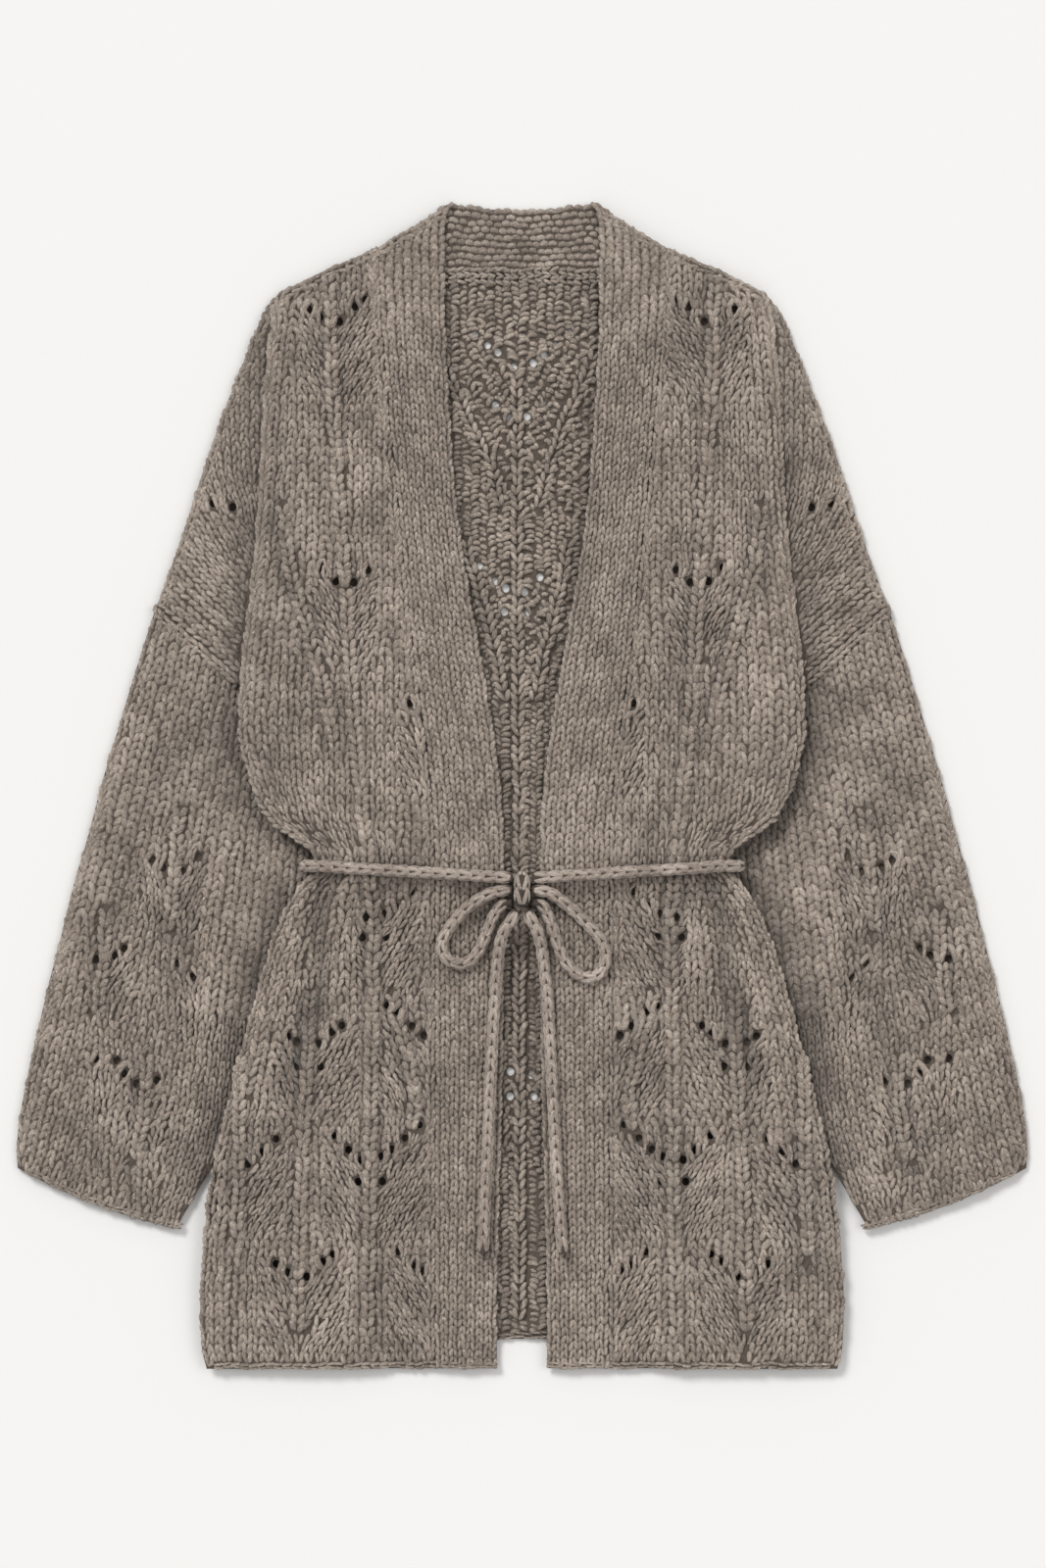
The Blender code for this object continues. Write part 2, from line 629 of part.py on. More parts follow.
def belt_over(across, along):
    """A point of the belt's centre where it rests on a front or a band."""
    top = front_high(across, along)
    if across < through(BAND_SEAM, along) + 2.0:
        top += BAND_EXTRA
    return top + CORD_RADIUS + CORD_CLEARANCE


def belt_route():
    """Belt from the knot over one front, round and under the back, and to the knot again."""
    half = []
    for across in BELT_OVER_AT:
        along = BELT_LINE - BELT_SAG * (1.0 - across / BELT_TURN_AT)
        half.append((across, along, belt_over(across, along)))
    low = belt_rest(BELT_TURN_AT)
    top = low + 2.0 * BELT_TURN_RADIUS
    half.append((BELT_TURN_AT - 6.0, BELT_LINE, top - 0.1))
    for turn in (1, 3, 5, 7):
        angle = math.pi * turn / 8.0
        half.append((BELT_TURN_AT + BELT_TURN_RADIUS * math.sin(angle), BELT_LINE,
                     low + BELT_TURN_RADIUS * (1.0 + math.cos(angle))))
    for across in BELT_UNDER_AT:
        half.append((across, BELT_LINE, belt_rest(across)))
    knot_side = (KNOT_SIZE[0] / 2.0 + SEAM_GAP, BELT_AT_KNOT, half[0][2] + 0.3)
    half.insert(0, knot_side)
    left = [(-x, y, z) for x, y, z in half]
    return left + list(reversed(half))


def add_knot(material):
    """The tight turn of cord that ties the bow, as a rounded block."""
    mesh = bmesh.new()
    bmesh.ops.create_cube(mesh, size=1.0)
    for corner in mesh.verts:
        for axis in range(3):
            corner.co[axis] = (KNOT_CENTRE[axis] + corner.co[axis] * KNOT_SIZE[axis]) * MILLIMETRE
    bmesh.ops.bevel(mesh, geom=mesh.edges[:], offset=KNOT_ROUNDING * MILLIMETRE, segments=2,
                    affect="EDGES", profile=0.5)
    finish_mesh("belt_knot", mesh, material)


def main():
    """Clear the scene and build every piece of the cardigan."""
    for old in list(bpy.data.objects):
        bpy.data.objects.remove(old)
    wool = make_material(WOOL)
    belt_wool = make_material(BELT_WOOL)
    add_back(wool)
    for label, side in (("left", -1), ("right", 1)):
        add_front("front_" + label, side, wool)
        add_sleeve(label, side, wool)
        add_band("band_" + label, side, wool)
    add_neck_band(wool)
    add_cord("belt_waist", belt_route(), WAIST_SPACING, belt_wool)
    add_knot(belt_wool)
    add_cord("belt_loop_left", LOOP_LEFT, LOOP_SPACING, belt_wool)
    add_cord("belt_loop_right", LOOP_RIGHT, LOOP_SPACING, belt_wool)
    add_cord("belt_tail_left", TAIL_LEFT, TAIL_SPACING, belt_wool)
    add_cord("belt_tail_right", TAIL_RIGHT, TAIL_SPACING, belt_wool)


main()
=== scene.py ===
"""Looks of the knitted wrap cardigan, laid flat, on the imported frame.

Sizes are in millimetres until MILLIMETRE turns them into Blender's metres. +Z is up, +Y
runs from the hem to the neck, and the left front lies on -X. A point of a mirrored panel
is given by its distance from the centre line and its place along the garment.
"""

import logging
import math
from collections.abc import Callable
from dataclasses import dataclass, field
from enum import Enum

import bpy
import numpy as np
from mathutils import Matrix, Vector


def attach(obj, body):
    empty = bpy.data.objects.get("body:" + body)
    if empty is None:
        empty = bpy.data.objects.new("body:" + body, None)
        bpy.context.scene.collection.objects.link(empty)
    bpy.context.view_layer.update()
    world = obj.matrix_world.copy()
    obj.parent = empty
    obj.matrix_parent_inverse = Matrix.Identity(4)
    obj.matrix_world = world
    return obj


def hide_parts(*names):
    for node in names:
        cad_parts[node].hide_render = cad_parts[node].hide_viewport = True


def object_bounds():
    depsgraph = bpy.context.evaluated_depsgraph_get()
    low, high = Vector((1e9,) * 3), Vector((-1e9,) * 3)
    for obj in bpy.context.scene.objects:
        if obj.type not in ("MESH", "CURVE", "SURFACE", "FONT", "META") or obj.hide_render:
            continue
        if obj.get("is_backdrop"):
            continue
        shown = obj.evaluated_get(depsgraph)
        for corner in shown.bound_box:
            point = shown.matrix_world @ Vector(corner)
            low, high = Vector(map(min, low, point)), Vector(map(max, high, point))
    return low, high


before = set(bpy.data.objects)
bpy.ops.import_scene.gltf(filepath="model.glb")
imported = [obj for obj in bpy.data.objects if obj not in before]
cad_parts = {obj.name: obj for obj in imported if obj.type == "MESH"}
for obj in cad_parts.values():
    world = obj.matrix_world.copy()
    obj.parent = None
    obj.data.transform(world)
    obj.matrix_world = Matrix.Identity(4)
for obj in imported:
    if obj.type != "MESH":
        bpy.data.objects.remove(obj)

LOG = logging.getLogger("cardigan")
MILLIMETRE = 0.001
BODY = "root"

# Knit and stacking sizes, as in the part's source
WALL = 3.2
SEAM_GAP = 0.3
BAND_EXTRA = 0.5
EDGE_THICKNESS = 1.3
EDGE_ROUNDING = 4.0
LAYER_GAP = 0.8
LOFT_UNDER = 0.4
LOFT_SIDE = 0.9
LOFT_BELT = 1.8
LOFT_BODY = 1.6
LOFT_CAP = 2.0
LOFT_SLEEVE = 2.2
SLEEVE_STACK = 2.0 * WALL + LOFT_UNDER
FRONT_HEM = -415.5
BACK_HEM = -395.0
NECK_SEAM = 363.0
TIP_WIDTH = 173.6
TIP_LEVEL = 351.0
BAND_TOP = (102.0, 384.0)
NECK_POINT = (49.0, 415.5)
NECK_HALF = 60.0
NECK_SIDE_HIGH = (68.0, 402.5)
UNDERARM = -34.0
UNDERARM_WIDTH = 131.0
CAP_FOOT = 71.0
CAP_FOOT_WIDTH = 200.5
CAP_CORNER = 123.6
CAP_CORNER_WIDTH = 262.0
SHOULDER_FADE = 90.0
CORD = 8.2
CORD_RADIUS = CORD / 2.0
CORD_CLEARANCE = 0.7
BELT_LINE = -57.0
BELT_TURN_AT = 145.0
BELT_TURN_RADIUS = (2.0 * WALL + LAYER_GAP + LOFT_BELT + CORD + CORD_CLEARANCE + 0.4) / 2.0
BELT_SAG = 9.0
KNOT_SIZE = (13.0, 28.0, 15.0)
KNOT_CENTRE = (0.0, -74.0, 20.5)
CUFF_BULGE = 4.5

# Stitches
WALE = 7.8
COURSE = 6.2
BAND_COURSE = 5.5
SKIN = 1.4
STITCH_RISE = 2.5
EDGE_WALE = 6.4
HEM_WALE = 4.6
ABOVE_FLOOR = 0.1
LOWEST_LIFT = -0.7
ROPE_WALE = 9.4
ROPE_COURSE = 5.4

# Edges and ribs of the cloth
HEM_SHARE = 0.45
FOLD_TURN = 12.0
RIB_TOP = 24.0
RIB_FULL = 18.0
RIB_CREASE = 22.0
NEAR_SEAM = 100.0

# Outlines: rows of place along and half width, the shoulder line and the neck the other way
SHOULDER_LINE = (NECK_SIDE_HIGH, BAND_TOP, (140.0, 367.5), (TIP_WIDTH, TIP_LEVEL))
BODY_EDGE = (
    (351.0, 172.0), (343.0, 177.0), (316.0, 180.5), (282.0, 183.5), (214.0, 187.0),
    (169.0, 190.0), (133.0, 194.0), (92.0, 199.0), (71.0, 200.5), (44.0, 201.6),
    (8.0, 195.0), (-24.0, 180.0), (-40.0, 160.0), (-48.7, 149.0), (-57.0, 147.0),
    (-62.0, 147.8), (-68.0, 154.0), (-75.0, 160.5), (-107.0, 176.4), (-152.0, 190.0),
    (-205.0, 203.7), (-259.0, 217.0), (-321.0, 226.0), (-369.0, 229.0), (-400.0, 228.0),
    (-415.5, 224.5),
)
CAP_EDGE = (
    (351.0, 173.6), (343.0, 179.5), (333.6, 185.5), (316.0, 193.0), (281.0, 207.0),
    (246.0, 220.0), (211.0, 231.7), (176.0, 243.0), (141.0, 255.5), (123.6, 262.0),
)
ARMHOLE = (
    (CAP_CORNER, CAP_CORNER_WIDTH), (CAP_FOOT, CAP_FOOT_WIDTH), (UNDERARM, UNDERARM_WIDTH),
)
SLEEVE_OUTER = (
    (123.6, 262.0), (71.0, 278.6), (36.0, 289.0), (1.0, 299.6), (-34.0, 308.7),
    (-69.0, 319.0), (-104.0, 327.6), (-139.0, 336.7), (-174.0, 345.0), (-209.0, 352.8),
    (-244.0, 359.0), (-262.0, 360.2), (-273.0, 359.6),
)
SLEEVE_INNER = (
    (-34.0, 131.0), (-69.0, 131.0), (-139.0, 150.0), (-216.0, 189.0), (-270.5, 220.5),
    (-292.0, 233.0), (-316.0, 247.0),
)
BAND_SEAM = (
    (384.0, 102.0), (316.0, 98.7), (274.0, 95.2), (109.0, 78.5), (-55.0, 61.6),
    (-390.0, 61.6), (-415.5, 61.6),
)
BAND_INNER = (
    (415.5, 49.0), (409.0, 55.0), (400.0, 56.5), (363.0, 56.0), (225.0, 49.0),
    (-55.0, 12.6), (-167.0, 13.3), (-396.0, 18.0), (-415.5, 18.0),
)
FOLD_EDGE = (
    (351.0, 0.6), (316.0, 3.0), (282.0, 4.5), (214.0, 6.0), (133.0, 7.5), (71.0, 8.0),
    (8.0, 8.5), (-24.0, 7.5), (-44.0, 3.0), (-57.0, 0.0), (-70.0, 1.2), (-107.0, 3.0),
    (-205.0, 2.6), (-321.0, 1.6), (-400.0, 0.6), (-415.5, 0.0),
)
NECK_TOP = ((0.0, 409.5), (0.6, 413.0), (0.76, 415.0), (1.0, 402.5))

# Leaf motifs: distance of the spine from the centre line, height of the foot of its V,
# eyelets on the arm towards the centre and on the arm towards the side, lower pairs
FRONT_MOTIFS = (
    (136.0, 332.0, 3, 2, 0),
    (126.0, 146.0, 2, 2, 0),
    (105.0, -92.0, 3, 1, 1),
    (108.0, -266.0, 4, 3, 1),
    (152.0, -184.0, 3, 2, 1),
    (159.0, -348.0, 3, 2, 0),
    (201.0, -268.0, 3, 0, 0),
    (63.0, 50.0, 0, 2, 0),
    (63.0, -178.0, 0, 4, 0),
    (63.0, -348.0, 0, 3, 0),
    (212.0, 200.0, 1, 1, 0),
)
SLEEVE_MOTIFS = (
    (248.0, -60.0, 2, 2, 0),
    (228.0, -136.0, 0, 2, 0),
    (298.0, -122.0, 2, 1, 0),
    (268.0, -212.0, 1, 2, 0),
    (296.0, -196.0, 1, 1, 0),
)
BACK_MOTIFS = (
    (0.0, 300.0, 4, 4, 0),
    (-3.0, 264.0, 2, 2, 0),
    (-4.0, 140.0, 3, 2, 1),
    (0.0, -206.0, 1, 1, 1),
)

# Chains on the inside of the back, from the top down: the spine and the leaves' outlines
BACK_ROPES = (
    ((-3.5, 286.0), (-3.5, 196.0), (-3.5, 120.0), (-2.0, 10.0), (-2.0, -380.0)),
    ((-55.0, 300.0), (-42.0, 269.0), (-29.8, 242.6), (-22.8, 232.0), (-15.0, 196.0)),
    ((51.0, 306.0), (40.3, 281.0), (26.3, 249.6), (21.0, 232.0), (11.0, 196.0)),
    ((-40.0, 172.0), (-31.0, 140.0), (-20.0, 100.0), (-12.0, 60.0)),
    ((33.0, 172.0), (27.0, 140.0), (17.0, 100.0), (9.0, 60.0)),
)
# Chains on the fronts and sleeves: spines through the leaves and a few of their outlines
FRONT_ROPES = (
    ((138.0, 360.0), (136.0, 332.0), (136.0, 300.0), (133.0, 244.0), (129.0, 183.0), (126.0, 146.0),
     (121.0, 62.0), (113.0, -20.0), (105.5, -92.0), (107.0, -170.0), (108.0, -266.0), (110.0, -392.0)),
    ((151.5, -150.0), (152.0, -184.0), (155.0, -242.0), (158.0, -300.0), (159.0, -348.0),
     (160.0, -392.0)),
    ((200.0, -196.0), (201.0, -268.0), (204.0, -340.0)),
    ((170.0, 196.0), (165.0, 152.0), (153.0, 112.0), (142.0, 72.0), (134.0, 30.0)),
    ((93.0, -152.0), (83.0, -186.0), (76.0, -222.0), (78.0, -250.0)),
)
SLEEVE_ROPES = (
    ((244.0, -20.0), (248.0, -60.0), (252.0, -104.0)),
    ((297.0, -92.0), (298.0, -122.0), (303.0, -166.0)),
    ((268.0, -196.0), (269.0, -232.0), (276.0, -270.0)),
)

# Eyelets: half the cutter's height, its sides, and how the arms of a V start and go on
EYELET_REACH = 80.0
EYELET_SIDES = 10
ARM_START = 7.0
ARM_ACROSS = 9.0
ARM_UP = 7.5
PAIR_ACROSS = 8.5
PAIR_DOWN = 16.0

# Soft creases: from and to (across, along), half width, depth; a ridge has a plus
BODY_CREASES = (
    (151.0, -22.0, 140.0, -52.0, 2.6, -1.8),
    (138.0, -26.0, 131.0, -54.0, 3.4, -2.2),
    (122.0, -14.0, 114.0, -50.0, 4.0, -1.3),
    (98.0, -10.0, 94.0, -50.0, 4.4, -1.1),
    (77.0, -20.0, 76.0, -52.0, 4.0, -0.8),
    (131.0, -60.0, 146.0, -124.0, 8.5, -5.4),
    (144.0, -116.0, 168.0, -224.0, 11.0, -5.0),
    (149.0, -72.0, 170.0, -126.0, 9.0, 4.6),
    (114.0, -66.0, 126.0, -110.0, 4.6, -1.3),
    (97.0, -68.0, 107.0, -124.0, 5.2, -1.1),
    (80.0, -70.0, 83.0, -118.0, 4.6, -0.8),
    (170.0, -126.0, 196.0, -246.0, 11.0, 4.4),
    (128.0, -70.0, 132.0, -150.0, 9.0, 1.6),
    (112.0, -244.0, 138.0, -392.0, 10.0, -0.9),
    (196.0, -250.0, 204.0, -380.0, 9.0, -0.8),
    (112.0, 262.0, 146.0, 84.0, 12.0, 0.9),
    (170.0, 296.0, 178.0, 118.0, 8.0, -1.1),
    (156.0, 60.0, 182.0, -4.0, 8.0, -1.0),
)
SLEEVE_CREASES = (
    (207.0, -20.0, 216.0, -111.0, 9.0, 4.2),
    (216.0, -111.0, 238.0, -250.0, 10.0, 3.4),
    (226.0, -30.0, 240.0, -150.0, 6.0, -2.0),
    (262.0, 56.0, 296.0, -112.0, 9.0, -1.2),
    (300.0, -56.0, 334.0, -236.0, 8.0, 1.0),
    (252.0, -118.0, 286.0, -276.0, 7.0, -1.0),
    (236.0, 70.0, 214.0, 34.0, 6.0, -1.0),
)

# Free stretches of the cord: across, along, height of the centre above the surface
LOOP_LEFT = (
    (-7.2, -74.2, 20.5), (-12.5, -74.4, 20.5), (-23.5, -77.0, 20.0), (-40.3, -87.9, 16.5),
    (-52.9, -103.5, 14.5), (-57.4, -115.0, 13.8), (-51.5, -125.0, 13.6), (-40.0, -126.5, 13.5),
    (-31.0, -118.0, 13.4), (-25.0, -105.0, 13.3), (-20.0, -92.5, 14.0), (-13.6, -84.0, 16.0),
    (-7.2, -83.2, 16.6),
)
LOOP_RIGHT = (
    (7.2, -74.2, 20.5), (12.0, -74.4, 20.5), (21.0, -76.7, 20.0), (33.0, -85.8, 17.0),
    (46.0, -98.0, 15.0), (56.5, -110.5, 14.0), (59.5, -123.0, 13.6), (54.5, -134.0, 13.6),
    (44.0, -136.5, 13.5), (33.6, -129.0, 13.4), (26.9, -117.3, 13.3), (22.6, -104.0, 13.3),
    (18.0, -91.5, 14.0), (13.2, -84.0, 16.0), (7.2, -83.2, 16.6),
)
TAIL_LEFT = (
    (-4.4, -88.5, 22.6), (-6.0, -93.5, 23.0), (-12.6, -103.0, 21.6), (-16.2, -116.0, 17.2),
    (-18.2, -139.7, 13.6), (-20.2, -167.0, 13.3), (-22.2, -209.7, 13.2), (-24.9, -268.5, 13.0),
    (-26.3, -302.8, 12.9), (-27.7, -333.0, 12.8),
)
TAIL_RIGHT = (
    (4.4, -88.5, 22.6), (5.6, -93.5, 23.0), (10.8, -103.0, 21.6), (14.0, -116.0, 17.2),
    (16.9, -139.7, 13.6), (19.0, -167.0, 13.3), (21.2, -209.7, 13.2), (24.4, -268.5, 13.0),
    (27.0, -306.0, 12.9), (29.1, -333.0, 12.8),
)


class Side(Enum):
    """Which half of the garment a mirrored panel is on, as seen from above."""

    LEFT = -1
    RIGHT = 1

    @property
    def label(self) -> str:
        """The side's name as the frame's nodes have it."""
        return self.name.lower()

    def seed(self, left: int) -> int:
        """Seed of this side: the left side's own, and the next one on the right."""
        return left if self is Side.LEFT else left + 1


class Face(Enum):
    """Which face of the knitting is up."""

    KNIT = "knit"
    PURL = "purl"


# Curves and heights

Numbers = float | np.ndarray


def mix(first: Numbers, second: Numbers, share: Numbers) -> Numbers:
    """Blend two numbers or arrays by a share."""
    return first + (second - first) * share


def ramp(low: Numbers, high: Numbers, value: Numbers) -> Numbers:
    """Smooth step from 0 at low to 1 at high; low may be the greater."""
    share = np.clip((value - low) / (high - low), 0.0, 1.0)
    return share * share * (3.0 - 2.0 * share)


def hump(distance: Numbers, half_width: float) -> Numbers:
    """1 along the crest, falling away softly past the half width."""
    return 1.0 / (1.0 + (distance / half_width) ** 4)


def bell(distance: Numbers, half_width: Numbers) -> Numbers:
    """1 at no distance, falling away as a bell curve does."""
    return np.exp(-((distance / half_width) ** 2))


def distances(x: np.ndarray, y: np.ndarray) -> np.ndarray:
    """How far along a line in plan each of its points is."""
    return np.concatenate([[0.0], np.cumsum(np.hypot(np.diff(x), np.diff(y)))])


def unit(vectors: np.ndarray) -> np.ndarray:
    """Vectors with the same ways, each of length 1."""
    return vectors / np.maximum(np.linalg.norm(vectors, axis=-1, keepdims=True), 1e-6)


class Profile:
    """Smooth or straight curve through (key, value) rows, read from a fine table."""

    SAMPLES = 32

    def __init__(self, rows: tuple, is_straight: bool = False) -> None:
        """Sample the curve.

        Args:
            rows: The (key, value) rows, in rising or falling order of their keys.
            is_straight: Whether straight lines join the rows.
        """
        rows = sorted(rows)
        keys = [row[0] for row in rows]
        if is_straight:
            self.keys = np.array(keys)
            self.values = np.array([row[1] for row in rows])
        else:
            self.keys = np.linspace(keys[0], keys[-1], 1 + self.SAMPLES * len(rows))
            self.values = np.array([self.read(rows, key) for key in self.keys])

    @staticmethod
    def read(rows: list, at: float) -> float:
        """Value of the curve at one key, never outside its rows.

        Args:
            rows: The rows in rising order of their keys.
            at: The key.

        Returns:
            The value there.
        """
        slopes = [(b[1] - a[1]) / (b[0] - a[0]) for a, b in zip(rows, rows[1:])]
        index = min(max(sum(row[0] < at for row in rows) - 1, 0), len(rows) - 2)
        start, end = rows[index], rows[index + 1]

        def tangent(i: int) -> float:
            """Slope of the curve at a row."""
            if i in (0, len(rows) - 1):
                return slopes[0] if i == 0 else slopes[-1]
            before, after = slopes[i - 1], slopes[i]
            return 2.0 * before * after / (before + after) if before * after > 0.0 else 0.0

        step = end[0] - start[0]
        t = (at - start[0]) / step
        return (
            (1 + 2 * t) * (1 - t) ** 2 * start[1]
            + t * (1 - t) ** 2 * step * tangent(index)
            + t * t * (3 - 2 * t) * end[1]
            + t * t * (t - 1) * step * tangent(index + 1)
        )

    def __call__(self, at: Numbers) -> Numbers:
        """Value at a key or an array of keys."""
        return np.interp(at, self.keys, self.values)

    def slope(self, at: Numbers) -> Numbers:
        """Change of the value for each millimetre of the key."""
        return (self(at + 1.5) - self(at - 1.5)) / 3.0


body_edge = Profile(BODY_EDGE)
cap_outline = Profile(CAP_EDGE)
armhole = Profile(ARMHOLE, is_straight=True)
sleeve_outer = Profile(SLEEVE_OUTER)
sleeve_inner = Profile(SLEEVE_INNER)
band_seam = Profile(BAND_SEAM)
band_inner = Profile(BAND_INNER)
fold_edge = Profile(FOLD_EDGE)
shoulder_line = Profile(SHOULDER_LINE)
neck_top = Profile(NECK_TOP)


def belt_rest(across: Numbers) -> Numbers:
    """Height of the centre of the belt's run under the back."""
    low = CORD_RADIUS + SEAM_GAP
    return mix(low, SLEEVE_STACK + LAYER_GAP + CORD_RADIUS, ramp(72.0, 122.0, across))


def back_low(across: Numbers, along: Numbers) -> Numbers:
    """Underside of the back: flat on the surface, over the sleeves and over the belt.

    Args:
        across: Distances from the centre line.
        along: Places along the garment.

    Returns:
        The heights.
    """
    edge = sleeve_inner(along)
    over_sleeve = ramp(edge - 72.0, edge - 14.0, across) * ramp(32.0, -14.0, along)
    over_sleeve = over_sleeve * ramp(-330.0, -285.0, along)
    rest = (SLEEVE_STACK + LAYER_GAP) * over_sleeve
    over_belt = belt_rest(across) + CORD_RADIUS + LAYER_GAP
    return mix(rest, over_belt, hump(along - BELT_LINE, 16.0))


def front_low(across: Numbers, along: Numbers) -> Numbers:
    """Underside of a front: a little above the back, or above the sleeve past the armhole.

    Args:
        across: Distances from the centre line.
        along: Places along the garment.

    Returns:
        The heights.
    """
    rest = back_low(across, along) + WALL
    seam = armhole(np.maximum(along, UNDERARM))
    beside = ramp(seam - 60.0, seam - 14.0, across) * ramp(CAP_FOOT + 40.0, CAP_FOOT, along)
    rest = np.maximum(rest, (SLEEVE_STACK + LAYER_GAP) * beside)
    edge = body_edge(along)
    loft = mix(LOFT_BODY, LOFT_SIDE, ramp(edge - 60.0, edge - 8.0, across))
    return rest + mix(loft, LOFT_BELT, hump(along - BELT_LINE, 26.0))


def front_high(across: Numbers, along: Numbers) -> Numbers:
    """Top of a front, raised where the deep fold doubles the layers.

    Args:
        across: Distances from the centre line.
        along: Places along the garment.

    Returns:
        The heights.
    """
    edge = body_edge(along)
    folded = fold_edge(along) * ramp(edge - 75.0, edge - 14.0, across)
    return front_low(across, along) + WALL + folded


def cap_edge(along: Numbers) -> Numbers:
    """Half width of the dropped shoulder, to its fold and then to its sleeve seam."""
    low = np.maximum(armhole(along), body_edge(along))
    return np.where(along >= CAP_CORNER, cap_outline(along), low)


def cap_low(across: Numbers, along: Numbers) -> Numbers:
    """Underside of the dropped shoulder beside the fold.

    Args:
        across: Distances from the centre line.
        along: Places along the garment.

    Returns:
        The heights.
    """
    near_edge = ramp(cap_edge(along) - 12.0, cap_edge(along) - 1.0, across)
    near_edge = near_edge * np.where(along < CAP_CORNER, ramp(CAP_CORNER - 30.0, CAP_CORNER, along), 1.0)
    return WALL + mix(LOFT_CAP, SEAM_GAP, near_edge)


def sleeve_side(along: Numbers) -> Numbers:
    """Half width out to a sleeve's outer fold, and to the shoulder's corner above it."""
    return np.where(along < CAP_CORNER, sleeve_outer(along), CAP_CORNER_WIDTH)


def sleeve_loft(across: Numbers, along: Numbers) -> Numbers:
    """Air between the two walls of a sleeve: little under the body, more beside it.

    Args:
        across: Distances from the centre line.
        along: Places along the garment.

    Returns:
        The distances between the walls.
    """
    beside = ramp(8.0, 40.0, across - body_edge(along))
    free = 1.0 - hump(along - BELT_LINE, 22.0)
    outer = sleeve_side(along)
    folded = ramp(outer - 1.0, outer - 12.0, across)
    return LOFT_UNDER + (LOFT_SLEEVE - LOFT_UNDER) * beside * free * folded


def shoulder_rise(across: Numbers) -> Numbers:
    """How far the shoulder line stands above the level of the shoulder's tip."""
    return shoulder_line(across) - TIP_LEVEL


def place(across: Numbers, level: Numbers) -> Numbers:
    """Place along the garment of points of a front's row, which follows shoulder and belt.

    Args:
        across: Distances of the points from the centre line.
        level: The row's level, as it is at the shoulder's tip and beside the belt.

    Returns:
        The places.
    """
    fade = ramp(TIP_LEVEL - SHOULDER_FADE, TIP_LEVEL, level)
    rise = shoulder_rise(across) * fade
    sag = BELT_SAG * np.maximum(0.0, 1.0 - across / BELT_TURN_AT) * hump(level - BELT_LINE, 30.0)
    return level + rise - sag


def cap_share(along: Numbers) -> Numbers:
    """1 where the panel goes on as the dropped shoulder past its fold, 0 beside the body."""
    width = np.where(along > CAP_FOOT, cap_edge(along) - body_edge(along), 0.0)
    return np.where(along < CAP_CORNER, ramp(2.0, 14.0, width), 1.0)


class Drape:
    """Soft creases and unevenness of one panel."""

    WAVES = (150.0, 118.0, 87.0, 64.0, 41.0)

    def __init__(self, creases: tuple, seed: int, swell: float = 0.9) -> None:
        """Vary the creases a little and choose the waves.

        Args:
            creases: Rows of from, to, half width and depth.
            seed: Seed of this panel's variation.
            swell: Height of the slow waves.
        """
        random = np.random.default_rng(seed)
        self.creases = []
        for x0, y0, x1, y1, half_width, depth in creases:
            shift = random.uniform(-3.0, 3.0, 4)
            strength = random.uniform(0.9, 1.3)
            line = (x0 + shift[0], y0 + shift[1], x1 + shift[2], y1 + shift[3])
            self.creases.append((*line, half_width * random.uniform(0.85, 1.2), depth * strength))
        self.waves = []
        for length in self.WAVES:
            angle = random.uniform(-0.9, 0.9)
            share = length / self.WAVES[0]
            self.waves.append((math.cos(angle) / length, math.sin(angle) / length,
                               random.uniform(0.0, 1.0), swell * (0.35 + 0.65 * share)))

    def __call__(self, across: Numbers, along: Numbers) -> Numbers:
        """Height that the drape adds at points of the panel.

        Args:
            across: Distances from the centre line.
            along: Places along the garment.

        Returns:
            The added heights.
        """
        height = np.zeros(np.broadcast(across, along).shape)
        for x0, y0, x1, y1, half_width, depth in self.creases:
            dx, dy = x1 - x0, y1 - y0
            share = ((across - x0) * dx + (along - y0) * dy) / (dx * dx + dy * dy)
            clamped = np.clip(share, 0.0, 1.0)
            bend = 1.6 * np.sin(3.0 * clamped + x0) * half_width * 0.3
            length = math.hypot(dx, dy)
            off = np.hypot(across - x0 - clamped * dx + bend * dy / length,
                           along - y0 - clamped * dy - bend * dx / length)
            fade = ramp(-0.25, 0.3, share) * ramp(1.25, 0.6, share)
            height = height + depth * fade * bell(off, half_width)
        for kx, ky, phase, size in self.waves:
            height = height + 0.5 * size * np.sin(math.tau * (kx * across + ky * along + phase))
        return height


# Shader maths


